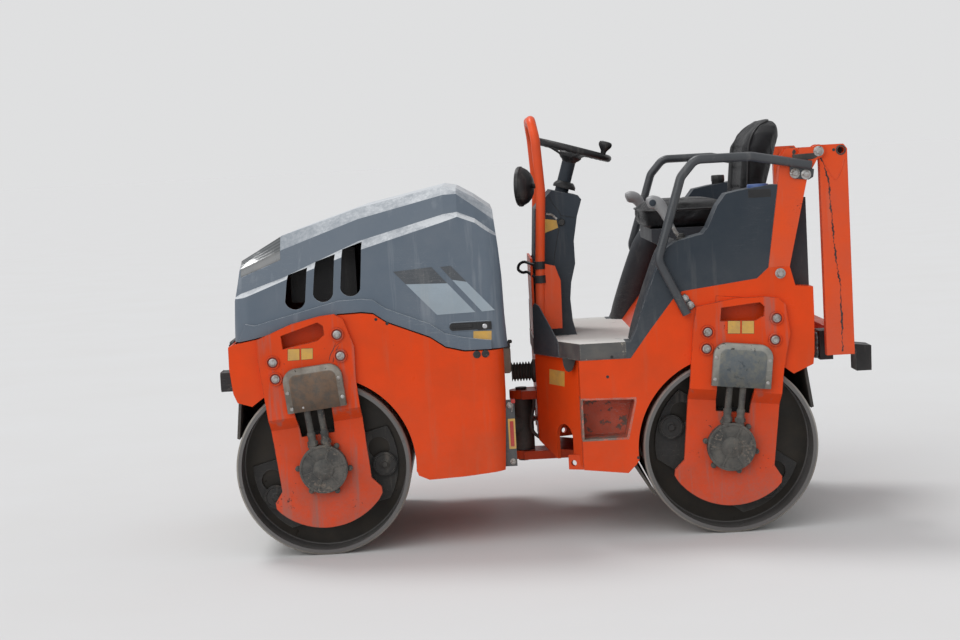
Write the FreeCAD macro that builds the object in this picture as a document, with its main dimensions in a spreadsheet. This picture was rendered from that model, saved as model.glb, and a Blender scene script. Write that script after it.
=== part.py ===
"""Road roller: a compact tandem ride-on roller that bends at its middle.

X points forward, Y to the operator's left and Z up, in millimetres. The ground is at Z = 0 and the origin
is under the middle of the machine's length. Sizes called x are measured forward from the steering pivot.
"""
import FreeCAD, Part
import Sketcher
import math
import os
import re

V = FreeCAD.Vector

# Each row: name of the size, its value, what it is
SIZES = (
    # Drums and axles
    ("drum_radius", 290, "rolling radius of both drums"),
    ("drum_usual", 290, "drum radius for which the heights above the ground are given"),
    ("drum_half", 500, "half the width of a drum"),
    ("rim_wall", 17, "thickness of the drum's shell"),
    ("rim_chamfer", 6, "chamfer on the drum's edge"),
    ("half_wheelbase", 675, "from the pivot to each drum's axle"),
    ("disc_outside", 400, "outer face of the disc inside a drum"),
    ("disc_wall", 15, "thickness of that disc"),
    ("carrier_wall", 12, "thickness of the carrier plate on the disc"),
    ("carrier_hub", 120, "radius of the carrier's middle"),
    ("carrier_gap", 30, "from the carrier's lobes to the drum's shell"),
    ("lobe_half", 72, "half the width of a lobe"),
    ("buffer_centre", 205, "from the axle to a rubber buffer"),
    ("buffer_radius", 40, "rubber buffer"),
    ("buffer_rise", 14, "how far a buffer stands out of its carrier"),
    ("window_rise", 52, "from the buffer up to the opening beside it"),
    ("window_radius", 36, "opening beside a buffer"),
    ("arch_clearance", 17, "radial gap between drum and body"),
    # Bodies
    ("side_reach", 507, "outer face of the side plates"),
    ("side_wall", 12, "thickness of the side plates"),
    ("arch_wall", 8, "thickness of the plate over a drum"),
    ("corner_round", 60, "rounded rear corners of the front body"),
    ("run_gap", 0.3, "gap between pieces that only seat on each other"),
    ("bearing_gap", 0.05, "radial gap of a bearing"),
    # Front body
    ("front_wall_x", 60, "rear face of the front body"),
    ("front_floor", 236, "underside of the front body"),
    ("front_heel", 251, "lower rear corner of the front body"),
    ("body_line", 653, "top edge of the body at its rear"),
    ("crest_x", 596, "where the body's top edge is highest"),
    ("crest_z", 796, "height of that point"),
    ("nose_x", 966, "front face of the nose"),
    ("nose_top", 709, "top edge of the nose"),
    ("nose_chin", 512, "underside of the nose"),
    # Hood
    ("hood_gap", 4, "gap between hood and body"),
    ("hood_rear_x", 45, "rear face of the hood at its foot"),
    ("hood_wall", 7, "thickness of the hood"),
    ("lip_reach", 500, "outer face of the hood's lip"),
    ("lip_height", 42, "height of the hood's lip"),
    ("lip_wall", 12, "thickness of the lip"),
    ("hood_side", 490, "outer face of the hood's lower side"),
    ("hood_upper", 455, "outer face above the sloping shelf"),
    ("hood_edge", 430, "outer face at the top edge"),
    ("hood_flat", 390, "half width of the flat top"),
    ("slot_width", 66, "width of an air slot"),
    ("slot_lean", 12, "how far the foot of a slot leans forward"),
    ("lens_rear_x", 782, "rear end of a headlight lens"),
    ("lens_front_x", 916, "front end of a headlight lens"),
    ("lens_inner", 300, "inner edge of a headlight lens"),
    ("hinge_x", 957, "hood hinge, along the machine"),
    ("hinge_z", 726, "hood hinge, height"),
    ("hinge_y", 250, "hood hinges, across the machine"),
    ("hinge_half", 15, "half the width of the hood's hinge eye"),
    ("hinge_pin", 6, "radius of the hood's hinge pin"),
    ("hinge_eye", 10, "outside of the hood's hinge eye"),
    ("lug_wall", 8, "thickness of a lug beside a hinge eye"),
    # Engine
    ("engine_rear_x", 120, "rear face of the engine block"),
    ("engine_long", 420, "length of the engine block"),
    ("engine_half", 210, "half the width of the engine block"),
    ("engine_foot", 640, "underside of the engine block"),
    ("engine_tall", 370, "height of the engine block"),
    ("bearer", 40, "width and height of the beams under the engine"),
    ("cooler_front_x", 760, "front of the cooler"),
    ("cooler_half", 360, "half the width of the cooler"),
    ("cooler_foot", 835, "underside of the cooler"),
    # Rear body
    ("rear_wall_x", -51, "front face of the rear body"),
    ("rear_face_half", 195, "half the width of that face"),
    ("facet_x", -185, "where the slanted front corners end"),
    ("facet_half", 420, "half width where the slanted front corners end"),
    ("rear_floor", 240, "underside of the rear body"),
    ("rear_front_foot", 300, "lower edge of the front face"),
    ("tail_x", -966, "rear face of the rear body"),
    ("tail_top", 806, "top edge of the tail"),
    ("tail_chin", 525, "underside of the tail"),
    # Deck
    ("deck_top", 656, "walking surface"),
    ("deck_reach", 500, "half width of the deck"),
    ("deck_front_x", -47, "front edge of the deck"),
    ("deck_corner_x", -191, "where the deck's slanted front edge meets its side"),
    ("guard_inset", 2, "from the deck's slanted edge to a splash guard"),
    ("guard_start", 0.2, "where a splash guard begins, as a share of the deck's slanted edge"),
    ("guard_end", 0.56, "where it ends, as a share of that edge"),
    ("guard_tall", 145, "height of a splash guard"),
    ("guard_toe", 16, "height of its outer end"),
    ("guard_wall", 9, "thickness of a splash guard"),
    ("step_rear_x", -362, "rear of the step recess at its top"),
    ("step_foot", 339, "floor of the step recess"),
    ("step_head", 470, "top of the step recess"),
    ("step_depth", 115, "depth of the step recess"),
    # Legs that carry the drums
    ("leg_wall", 15, "thickness of a leg"),
    ("leg_half", 153, "half the width of a leg"),
    ("leg_crank", 35, "how far the lower leg is set in"),
    ("crank_low", 148, "lower end of the crank above the axle"),
    ("crank_high", 186, "upper end of the crank above the axle"),
    ("leg_flare", 178, "half the width of a leg's foot"),
    ("foot_radius", 229, "rounded foot"),
    ("foot_low", -200, "lowest point of the foot below the axle"),
    ("leg_low_top", 457, "top of the leg at its front"),
    ("leg_high_top", 503, "top of the leg at its rear"),
    ("front_lean", 5.8, "degrees that a front leg leans forward"),
    ("rear_lean", -6.5, "degrees that a rear leg leans forward"),
    ("hose_window_half", 60, "half the width of the hose window"),
    ("hose_window_low", 113, "lower edge of the hose window"),
    ("hose_window_high", 316, "upper edge of the hose window"),
    ("hub_bore", 62, "opening for the hub motor in a leg"),
    ("boss_radius", 22, "washer under a leg bolt"),
    ("boss_rise", 4, "thickness of that washer"),
    # Hub motors
    ("hub_radius", 80, "cover of a hub motor"),
    ("hub_rise", 34, "how far the cover stands out of the leg"),
    ("motor_radius", 72, "motor behind the leg"),
    ("lug_out", 6, "from the cover's rim out to the middle of a lug"),
    ("lug_radius", 9, "lug for a bolt of the cover"),
    ("lug_rise", 14, "how far a lug stands out of the leg"),
    ("hose_radius", 11, "hydraulic hose"),
    ("hose_apart", 22, "from the leg's middle to each hose"),
    ("hose_high", 300, "upper end of the hoses above the axle"),
    # Shields
    ("shield_rise", 24, "how far a shield stands out of the leg"),
    ("shield_wall", 4, "thickness of a shield"),
    ("shield_rear", -112, "rear edge of a shield"),
    ("shield_front", 84, "front edge of a shield"),
    ("shield_low", 202, "lower edge of a shield above the axle"),
    ("shield_high", 346, "upper edge of a shield above the axle"),
    ("shield_corner", 38, "cut corners of a shield"),
    # Steering joint
    ("swing_z", 335, "height of the axis on which the front body rocks"),
    ("king_pin", 20, "radius of the steering pin"),
    ("yoke_radius", 40, "radius of the yoke's upright"),
    ("ear_low", 212, "underside of the lower ear"),
    ("ear_high", 457, "top of the upper ear"),
    ("ear_wall", 30, "thickness of an ear"),
    ("ear_gap", 2, "gap between ear and yoke"),
    ("trunnion", 30, "radius of the rocking pin"),
    ("trunnion_long", 45, "length of the rocking pin in the front body"),
    ("bearing_radius", 48, "outside of the rocking bearing"),
    ("arm_reach", 130, "from the steering pin to the cylinder's eye"),
    ("arm_wall", 18, "thickness of the steering arm"),
    ("base_reach", 435, "from the rear axle forward to the pin at the steering cylinder's base"),
    ("base_y", -60, "pin at the steering cylinder's base, across the machine"),
    ("barrel_radius", 24, "steering cylinder"),
    ("barrel_long", 150, "length of the cylinder from its base pin"),
    ("rod_radius", 11, "piston rod"),
    ("eye_radius", 20, "eye of the piston rod"),
    ("rod_depth", 75, "how far the rod reaches into the barrel"),
    # Console and controls
    ("console_half", 150, "half the width of the steering console"),
    ("console_front_x", -68, "front of the steering console"),
    ("bulkhead_wall", 8, "thickness of the bulkhead"),
    ("bulkhead_half", 188, "half the width of the bulkhead"),
    ("bulkhead_top", 930, "top of the bulkhead"),
    ("hoop_radius", 16, "tube of the front hoop"),
    ("hoop_half", 208, "from the middle to each leg of the hoop"),
    ("hoop_top", 1420, "top of the hoop"),
    ("wheel_x", -224, "middle of the steering wheel, along the machine"),
    ("wheel_z", 1296, "middle of the steering wheel, height"),
    ("wheel_radius", 131, "steering wheel to the middle of its rim"),
    ("wheel_grip", 12, "radius of the steering wheel's rim"),
    ("wheel_lean", -17, "degrees that the steering column leans forward"),
    ("hub_cap", 38, "radius of the steering wheel's hub"),
    ("column_radius", 24, "steering column"),
    ("column_long", 165, "from the wheel down to the console"),
    ("lamp_x", -48, "middle of the work lamp"),
    ("lamp_z", 1178, "height of the work lamp"),
    ("lamp_radius", 68, "work lamp"),
    # Seat and side consoles
    ("armrest_inner", 405, "inner face of a side console"),
    ("armrest_outer", 505, "outer face of a side console"),
    ("seat_half", 230, "half the width of the seat"),
    ("cushion_wall", 90, "thickness of the cushion"),
    ("back_half", 215, "half the width of the backrest"),
    ("cushion_top", 1100, "top of the cushion"),
    ("cushion_front_x", -443, "front of the cushion"),
    ("cushion_rear_x", -748, "rear of the cushion"),
    ("tank_front_x", -870, "front of the rear tank"),
    ("tank_rear_x", -964, "rear of the rear tank"),
    ("tank_half", 440, "half the width of the rear tank"),
    ("tank_top", 1104, "top of the rear tank"),
    ("rail_radius", 15, "tube of a side rail"),
    ("lever_radius", 9, "stick of a travel lever"),
    ("lever_y", 430, "travel lever, across the machine"),
    ("grip_radius", 22, "grip of a travel lever"),
    # Roll-over frame
    ("post_inner", 447, "inner face of a post"),
    ("post_outer", 507, "outer face of a post"),
    ("fold_x", -1001, "hinge of the folding frame, along the machine"),
    ("fold_z", 1247, "hinge of the folding frame, height"),
    ("fold_pin", 11, "radius of the hinge pin"),
    ("fold_eye", 9, "wall of the eye round that pin"),
    ("fold_front_x", -1005, "front of the folded frame"),
    ("fold_rear_x", -1097, "rear of the folded frame"),
    ("fold_foot", 574, "lower end of the folded frame"),
    ("fold_head", 1267, "upper end of the folded frame"),
    ("fold_inner", 459, "inner face of the folding frame's posts"),
    ("fold_outer", 495, "outer face of the folding frame's posts"),
    ("ear_plate", 6, "thickness of the hinge ears"),
    ("bar_front_x", -1052, "front of the folding frame's crossbar"),
    ("bar_tall", 70, "height of the crossbar"),
    ("rear_reach", -1182, "rearmost point of the rear lamps"),
    # Lamps, bar and scrapers
    ("front_reach", 1000, "foremost point of the nose lamps"),
    ("nose_lamp_y", 430, "nose lamp, across the machine"),
    ("nose_lamp_half", 45, "half the width of a nose lamp"),
    ("nose_lamp_low", 545, "underside of a nose lamp"),
    ("nose_lamp_tall", 68, "height of a nose lamp"),
    ("lock_y", 451, "lock bar, across the machine"),
    ("lock_half", 14, "half the width of the lock bar"),
    ("lock_rise", 26, "how far the lock bar stands out of the front body"),
    ("lock_low", 258, "lower end of the lock bar"),
    ("lock_high", 478, "upper end of the lock bar"),
    ("scraper_half", 478, "half the width of a scraper"),
    ("scraper_gap", 5, "gap between a scraper's edge and its drum"),
    ("deck_low", 601, "underside of the deck"),
    ("deck_heel", -342, "where the deck's edge meets a side console"),
    ("deck_toe", -356, "where the rear body rises behind the deck"),
    ("post_x", -822, "front foot of a roll-over post"),
    ("shoulder", 876, "top of the rear body under the posts"),
    ("post_seat", 1205, "top of a post between its ears"),
    ("lock_hole_x", -1076, "lock hole of the folded frame"),
    ("step_wall", 6, "lining of the step recess"),
    ("tie_x", -160, "tie-down eye, along the machine"),
    ("tie_y", 392, "tie-down eye, across the machine"),
    ("tie_turn", 25, "degrees that a tie-down tab is turned forward"),
    ("tie_front", 19, "from a tie-down eye to the front of its tab"),
    ("tie_rear", 34, "from a tie-down eye to the rear of its tab"),
    ("hook_arch_x", -134, "arch cut into the slanted corner, along the machine"),
    ("hook_arch_half", 49, "half the width of that arch"),
    ("hook_arch_top", 375, "top of that arch"),
    ("tie_z", 246, "height of a tie-down eye"),
    ("front_part_x", -204, "rear end of the rear body's front part"),
    ("tail_part_x", -892, "front end of its tail"),
    ("part_room", 30, "how far the cutting forms of the rear body's parts reach past its sides"),
    ("belly_keep", 150, "half width of the floor kept under the steering joint"),
    ("window_y", -190, "window for the steering cylinder, across the machine"),
    ("window_z", 280, "foot of that window"),
    ("window_wide", 145, "width of that window"),
    ("window_tall", 100, "height of that window"),
    ("tie_wall", 14, "thickness of a tie-down tab"),
    ("tie_radius", 10, "hole of a tie-down eye"),
    ("base_pin_radius", 12, "pin at the steering cylinder's base"),
    ("hub_drop", 46, "height of the steering wheel's hub"),
    ("knob_radius", 19, "knob on the steering wheel"),
    ("knob_tall", 48, "height of that knob"),
    ("spoke_radius", 9, "spoke of the steering wheel"),
    ("spoke_drop", 16, "from the rim's middle down to a spoke's inner end"),
    ("lamp_y", 122, "work lamp, across the machine"),
    ("rear_lamp_y", 300, "rear lamps, across the machine"),
    ("front_carrier_lean", 14, "degrees that the front drum's carrier has turned"),
    ("rear_carrier_lean", -35, "degrees that the rear drum's carrier has turned"),
)

doc = FreeCAD.newDocument("road_roller")
sheet = doc.addObject("Spreadsheet::Sheet", "Sizes")
# Values worked out from the sizes: name, formula, what it is
DERIVED = (
    ("pivot_x", "-(front_reach + rear_reach) / 2", "steering pivot, measured from the origin"),
    ("lift", "drum_radius - drum_usual", "how much higher the bodies stand on larger drums"),
    ("carrier_reach", "drum_radius - rim_wall - carrier_gap", "radius of the carrier's lobes"),
    ("base_x", "base_reach - half_wheelbase", "pin at the steering cylinder's base, along the machine"),
    ("cushion_low", "cushion_top - cushion_wall", "underside of the cushion"),
)
NAMES = {row[0] for row in SIZES + DERIVED}
NODES = []


def fill_sheet():
    """Writes every size and every value worked out from them into the sheet."""
    for row, (name, content, note) in enumerate(SIZES + DERIVED, 1):
        sheet.set("A%d" % row, name)
        sheet.set("B%d" % row, "=%s" % content)
        sheet.setAlias("B%d" % row, name)
        sheet.set("C%d" % row, note)
    doc.recompute()


def bound(formula):
    """The formula with the sheet's name before each size, as an expression for an object of the document."""
    def swap(found):
        word = found.group()
        return "Sizes." + word if word in NAMES else word
    return re.sub(r"[a-z][a-z_0-9]*", swap, str(formula))


def value(formula):
    """The formula's value in millimetres or degrees."""
    return float(sheet.evalExpression(bound(formula)))


def place(thing, x="0", y="0", z="0", axis=None, angle="0", local=False):
    """Binds an object's Placement; x counts from the pivot unless the object is placed in a local frame."""
    thing.setExpression("Placement.Base.x", bound(x if local else "pivot_x + (%s)" % x))
    thing.setExpression("Placement.Base.y", bound(y))
    thing.setExpression("Placement.Base.z", bound(z if local else "lift + (%s)" % z))
    if axis:
        thing.Placement.Rotation = FreeCAD.Rotation(V(*axis), value(angle))
    return thing


def settle(thing):
    """Recomputes one object and stops if it failed."""
    thing.recompute()
    if "Invalid" in thing.State or "Error" in thing.State:
        raise RuntimeError("%s failed: %s" % (thing.Label, thing.State))
    return thing


def box(name, x, y, z, long, wide, tall, local=False):
    """Box from its low corner."""
    thing = doc.addObject("Part::Box", name)
    thing.setExpression("Length", bound(long))
    thing.setExpression("Width", bound(wide))
    thing.setExpression("Height", bound(tall))
    return settle(place(thing, x, y, z, local=local))


TURNS = {"X": ((0, 1, 0), 90), "Y": ((1, 0, 0), -90), "Z": ((0, 0, 1), 0)}


def rod(name, along, x, y, z, radius, long, local=False):
    """Cylinder from the middle of its low end, along X, Y or Z."""
    thing = doc.addObject("Part::Cylinder", name)
    thing.setExpression("Radius", bound(radius))
    thing.setExpression("Height", bound(long))
    axis, angle = TURNS[along]
    return settle(place(thing, x, y, z, axis, angle, local))


def cut(name, base, *tools):
    """The base without the tools."""
    thing = doc.addObject("Part::Cut", name)
    thing.Base = base
    thing.Tool = tools[0] if len(tools) == 1 else fuse(name + "_tools", *tools)
    return settle(thing)


def fuse(name, *parts):
    """Parts joined into one."""
    thing = doc.addObject("Part::MultiFuse", name)
    thing.Shapes = list(parts)
    thing.Refine = True
    return settle(thing)


def common(name, *parts):
    """What all the parts share."""
    thing = doc.addObject("Part::MultiCommon", name)
    thing.Shapes = list(parts)
    return settle(thing)


def group(name, *parts):
    """Parts that belong to one node and don't touch."""
    thing = doc.addObject("Part::Compound", name)
    thing.Links = list(parts)
    return settle(thing)


def mirror(name, source):
    """The piece on the other side of the machine."""
    thing = doc.addObject("Part::Mirroring", name)
    thing.Source = source
    thing.Normal = V(0, 1, 0)
    return settle(thing)


def node(name, thing):
    """Names a finished sub-part, which is written to its own file."""
    thing.Label = name
    NODES.append((name, thing))
    return thing


PLANES = {"XZ": "XZ_Plane", "XY": "XY_Plane", "YZ": "YZ_Plane"}


def draw(sketch, loops):
    """Draws closed loops of (across, up) points; a third entry is the radius of an arc to the next point."""
    for loop in loops:
        first = sketch.GeometryCount
        count = len(loop)
        spots = [V(value(point[0]), value(point[1]), 0) for point in loop]
        ends = []
        for i, point in enumerate(loop):
            here, there = spots[i], spots[(i + 1) % count]
            if len(point) > 2:
                ends.append(draw_arc(sketch, here, there, point[2]))
            else:
                sketch.addGeometry(Part.LineSegment(here, there), False)
                ends.append((1, 2))
        for i in range(count):
            after = (i + 1) % count
            sketch.addConstraint(Sketcher.Constraint(
                "Coincident", first + i, ends[i][1], first + after, ends[after][0]))
        for i, point in enumerate(loop):
            for kind, formula, number in zip(("DistanceX", "DistanceY"), point, spots[i]):
                index = sketch.addConstraint(Sketcher.Constraint(kind, -1, 1, first + i, ends[i][0], number))
                sketch.setExpression("Constraints[%d]" % index, bound(formula))


def draw_arc(sketch, here, there, radius):
    """Arc from here to there, turning left where the radius is positive; returns its end numbers in order."""
    size = abs(value(radius))
    chord = there.sub(here)
    half = chord.Length / 2
    side = V(-chord.y, chord.x, 0).normalize()
    turn = 1 if value(radius) > 0 else -1
    middle = here.add(there).multiply(0.5)
    centre = middle.add(side.multiply(turn * math.sqrt(max(size ** 2 - half ** 2, 0))))
    crown = centre.add(middle.sub(centre).normalize().multiply(size))
    index = sketch.addGeometry(Part.Arc(here, crown, there), False)
    sketch.setExpression("Constraints[%d]" % sketch.addConstraint(
        Sketcher.Constraint("Radius", index, size)), bound("abs(%s)" % radius))
    return (1, 2) if turn > 0 else (2, 1)


def sketch_on(body, name, plane, offset, loops, local=False):
    """Sketch on one of a body's own planes, moved along that plane's normal."""
    sketch = body.newObject("Sketcher::SketchObject", name)
    sketch.AttachmentSupport = [(part, "") for part in body.Origin.OriginFeatures
                                if part.Role == PLANES[plane]]
    sketch.MapMode = "FlatFace"
    shift, lift = ("0", "0") if local else ("pivot_x", "lift")
    if plane == "YZ":
        sketch.setExpression("AttachmentOffset.Base.y", bound(lift))
        sketch.setExpression("AttachmentOffset.Base.z", bound("%s + (%s)" % (shift, offset)))
    elif plane == "XZ":
        sketch.setExpression("AttachmentOffset.Base.x", bound(shift))
        sketch.setExpression("AttachmentOffset.Base.y", bound(lift))
        sketch.setExpression("AttachmentOffset.Base.z", bound(offset))
    else:
        sketch.setExpression("AttachmentOffset.Base.x", bound(shift))
        sketch.setExpression("AttachmentOffset.Base.z", bound("%s + (%s)" % (lift, offset)))
    sketch.recompute()
    draw(sketch, loops)
    return settle(sketch)


def plate(name, plane, low, high, *loops, local=False):
    """Body padded from low to high along the normal of XZ, XY or YZ."""
    body = doc.addObject("PartDesign::Body", name)
    start = "-(%s)" % high if plane == "XZ" else low
    outline = sketch_on(body, name + "_outline", plane, start, loops, local)
    pad = body.newObject("PartDesign::Pad", name + "_pad")
    pad.Profile = outline
    pad.setExpression("Length", bound("(%s) - (%s)" % (high, low)))
    settle(pad)
    return settle(body)


def spin(name, plane, axis, *loops, local=False):
    """Body turned a full circle about the sketch's H_Axis or V_Axis."""
    body = doc.addObject("PartDesign::Body", name)
    outline = sketch_on(body, name + "_outline", plane, "0", loops, local)
    turn = body.newObject("PartDesign::Revolution", name + "_turn")
    turn.Profile = outline
    turn.ReferenceAxis = (outline, [axis])
    turn.Angle = 360
    settle(turn)
    return settle(body)


def loft(name, stations):
    """Body through closed outlines of equal length across the machine; stations are (x, loop) pairs."""
    body = doc.addObject("PartDesign::Body", name)
    outlines = [sketch_on(body, "%s_station%d" % (name, i), "YZ", x, [loop])
                for i, (x, loop) in enumerate(stations)]
    feature = body.newObject("PartDesign::AdditiveLoft", name + "_loft")
    feature.Profile = outlines[0]
    feature.Sections = outlines[1:]
    feature.Ruled = True
    settle(feature)
    return settle(body)


def bent_tube(name, points, radius, bend, local=False):
    """Round tube along straight runs joined by arcs; points are (x, y, z) rows of formulas from the pivot."""
    shift, lift = (0, 0) if local else (value("pivot_x"), value("lift"))
    spots = [V(value(x) + shift, value(y), value(z) + lift) for x, y, z in points]
    edges = []
    start = spots[0]
    for before, corner, after in zip(spots, spots[1:], spots[2:]):
        back = before.sub(corner).normalize()
        ahead = after.sub(corner).normalize()
        half_turn = (math.pi - back.getAngle(ahead)) / 2
        step = value(bend) * math.tan(half_turn)
        inward = back.add(ahead).normalize()
        first = corner.add(V(back).multiply(step))
        last = corner.add(V(ahead).multiply(step))
        depth = value(bend) / math.cos(half_turn) - value(bend)
        crown = corner.add(inward.multiply(depth))
        edges.append(Part.LineSegment(start, first).toShape())
        edges.append(Part.Arc(first, crown, last).toShape())
        start = last
    edges.append(Part.LineSegment(start, spots[-1]).toShape())
    spine = Part.Wire(edges)
    ring = Part.Wire(Part.Circle(spots[0], spots[1].sub(spots[0]), value(radius)).toShape())
    thing = doc.addObject("Part::Feature", name)
    thing.Shape = spine.makePipeShell([ring], True, False)
    return thing


def prism(name, plane, low, high, loop, inset=None, local=False):
    """Straight solid over an outline, drawn inward by the inset if there is one."""
    sketch = doc.addObject("Sketcher::SketchObject", name + "_outline")
    if plane == "XZ":
        place(sketch, "0", low, "0", (1, 0, 0), "90", local)
        direction = V(0, 1, 0)
    elif plane == "YZ":
        place(sketch, low, "0", "0", (1, 1, 1), "120", local)
        direction = V(1, 0, 0)
    else:
        place(sketch, "0", "0", low, local=local)
        direction = V(0, 0, 1)
    draw(sketch, [loop])
    base = settle(sketch)
    if inset:
        base = doc.addObject("Part::Offset2D", name + "_inset")
        base.Source = sketch
        base.setExpression("Value", bound("-(%s)" % inset))
        base.Join = 2
        settle(base)
    thing = doc.addObject("Part::Extrusion", name)
    thing.Base = base
    thing.DirMode = "Custom"
    thing.Dir = direction
    thing.setExpression("LengthFwd", bound("(%s) - (%s)" % (high, low)))
    thing.Solid = True
    return settle(thing)


def hollow(name, side, plan, plan_inside, reach, reach_inside, wall):
    """Shell of one wall between a side outline and a plan outline, with its outer and inner form."""
    outer = common(name + "_outer",
                   prism(name + "_side", "XZ", "-(%s)" % reach, reach, side),
                   prism(name + "_plan", "XY", "0", "1500", plan))
    inner = common(name + "_inner",
                   prism(name + "_side_in", "XZ", "-(%s)" % reach_inside, reach_inside, side, wall),
                   prism(name + "_plan_in", "XY", "0", "1500", plan_inside, wall))
    return outer, inner, cut(name + "_shell", outer, inner)


def arch(name, outer, hub_x):
    """Drum well: what it cuts away, and the curved plate over the drum."""
    well = rod(name + "_well", "Y", hub_x, "-side_reach - 20", "drum_usual", "drum_radius + arch_clearance",
               "2 * side_reach + 40")
    ring = rod(name + "_ring", "Y", hub_x, "-side_reach + side_wall / 2", "drum_usual",
               "drum_radius + arch_clearance + arch_wall", "2 * side_reach - side_wall")
    return well, common(name + "_plate", ring, outer)


FRONT_SIDE = [
    ("front_wall_x + 14", "front_heel"), ("206", "front_floor + 3"), ("327", "front_floor - 2"),
    ("362", "front_floor + 14"), ("367", "front_floor + 27"), ("420", "300"), ("800", "470"),
    ("858", "537"), ("898", "nose_chin - 3"), ("945", "nose_chin + 12"), ("nose_x - 9", "554"),
    ("nose_x", "638"), ("nose_x - 1", "nose_top"), ("947", "nose_top + 8"), ("874", "729"),
    ("crest_x", "crest_z"), ("crest_x - 76", "crest_z + 2"), ("483", "crest_z - 3"), ("440", "762"),
    ("299", "704"), ("250", "body_line + 16"), ("188", "body_line"), ("front_wall_x", "body_line"),
    ("front_wall_x", "front_heel + 250"),
]


def front_frame():
    """Front body: a plate shell open at the top, the plate over the drum and the bearing it rocks on."""
    plan = [
        ("front_wall_x + corner_round", "-side_reach"), ("nose_x + 10", "-side_reach"),
        ("nose_x + 10", "side_reach"), ("front_wall_x + corner_round", "side_reach", "corner_round"),
        ("front_wall_x", "side_reach - corner_round"),
        ("front_wall_x", "-(side_reach - corner_round)", "corner_round"),
    ]
    outer, inner, shell = hollow("front_body", FRONT_SIDE, plan, plan, "side_reach", "side_reach - side_wall",
                                 "side_wall")
    opening = doc.addObject("Part::Feature", "front_body_opening")
    opening.Shape = inner.Shape.translated(V(0, 0, 3 * value("side_wall")))
    well, over = arch("front_arch", outer, "half_wheelbase")
    boss = rod("rock_boss", "X", "front_wall_x", "0", "swing_z", "bearing_radius",
               "side_wall + trunnion_long")
    bore = rod("rock_bore", "X", "front_wall_x - 5", "0", "swing_z", "trunnion + bearing_gap",
               "side_wall + trunnion_long + 10")
    open_shell = cut("front_body_open", shell, opening, well)
    bearers = [box("engine_bearer%d" % i, x, "-side_reach + side_wall / 2", "engine_foot - bearer", "bearer",
                   "2 * side_reach - side_wall", "bearer")
               for i, x in enumerate(("engine_rear_x + 30", "engine_rear_x + engine_long - 30 - bearer"))]
    handles = handle_holes("front", "half_wheelbase", "front_lean")
    welded = fuse("front_frame_weld", open_shell, over, boss, *bearers)
    holed = cut("front_frame_holed", welded, well, bore, handles)
    node("front_frame", fuse("front_frame_made", holed, *hood_lugs()))


def hood_lugs():
    """Two lugs with a pin between them on each side of the nose, for the hood's hinges."""
    lugs = []
    for i, sign in enumerate(("", "-")):
        middle = "%shinge_y" % sign
        for j, low in enumerate(("%s - hinge_half - run_gap - lug_wall" % middle,
                                 "%s + hinge_half + run_gap" % middle)):
            lugs.append(plate("hood_lug%d%d" % (i, j), "XZ", low, "%s + lug_wall" % low, [
                ("hinge_x - 8", "nose_top - 5"), ("nose_x - 3", "nose_top - 5"),
                ("hinge_x + 6", "hinge_z + 6"),
                ("hinge_x - 2", "hinge_z + 9"), ("hinge_x - 8", "hinge_z + 6")]))
        lugs.append(rod("hood_pin%d" % i, "Y", "hinge_x", "%s - hinge_half - lug_wall" % middle, "hinge_z",
                        "hinge_pin", "2 * (hinge_half + lug_wall)"))
    return lugs


REAR_TOP = [
    ("deck_toe", "deck_low"), ("-425", "691"), ("-503", "787"), ("-535", "813"), ("-783", "842"),
    ("post_x", "shoulder"),
]


def rear_side():
    """Side outline of the rear body."""
    return [
        ("rear_wall_x", "rear_front_foot"), ("rear_wall_x", "deck_low"), *REAR_TOP,
        ("-892", "shoulder"), ("-908", "tail_top + 6"), ("tail_x", "tail_top"), ("tail_x", "709"),
        ("tail_x + 4", "591"), ("tail_x + 9", "550"), ("-891", "tail_chin - 4"), ("-863", "543"),
        ("-800", "470"), ("-430", "300"), ("-372", "rear_floor + 27"), ("-360", "rear_floor + 9"),
        ("-331", "rear_floor - 20"), ("-170", "rear_floor"), ("-107", "rear_floor + 8"),
    ]


def rear_plan(half):
    """Plan of the rear body: narrow front face, slanted corners, straight sides at the given half width."""
    right = [("tail_x - 10", "-(%s)" % half), ("facet_x", "-(%s)" % half), ("facet_x", "-facet_half"),
             ("rear_wall_x", "-rear_face_half")]
    return right + [("rear_wall_x", "rear_face_half"), ("facet_x", "facet_half"), ("facet_x", half),
                    ("tail_x - 10", half)]


def step_liner(sign, wall, depth):
    """Form of the step recess at one side, larger by its wall; the recess itself has no wall."""
    side = "left" if sign == "" else "right"
    low = "side_reach - (%s)" % depth if sign == "" else "-side_reach - 5"
    high = "side_reach + 5" if sign == "" else "-side_reach + %s" % depth
    if wall != "0":
        low, high = (low, "side_reach") if sign == "" else ("-side_reach", high)
    name = "step_%s_%s" % ("recess" if wall == "0" else "liner", side)
    return prism(name, "XZ", low, high, [
        ("facet_x - step_wall + %s" % wall, "step_foot - %s" % wall),
        ("facet_x - step_wall + %s" % wall, "step_head + %s" % wall),
        ("step_rear_x - %s" % wall, "step_head + %s - 5" % wall),
        ("step_rear_x - %s" % wall, "step_head - 16"),
        ("step_rear_x + 30 - %s" % wall, "step_foot - %s" % wall)])


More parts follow.
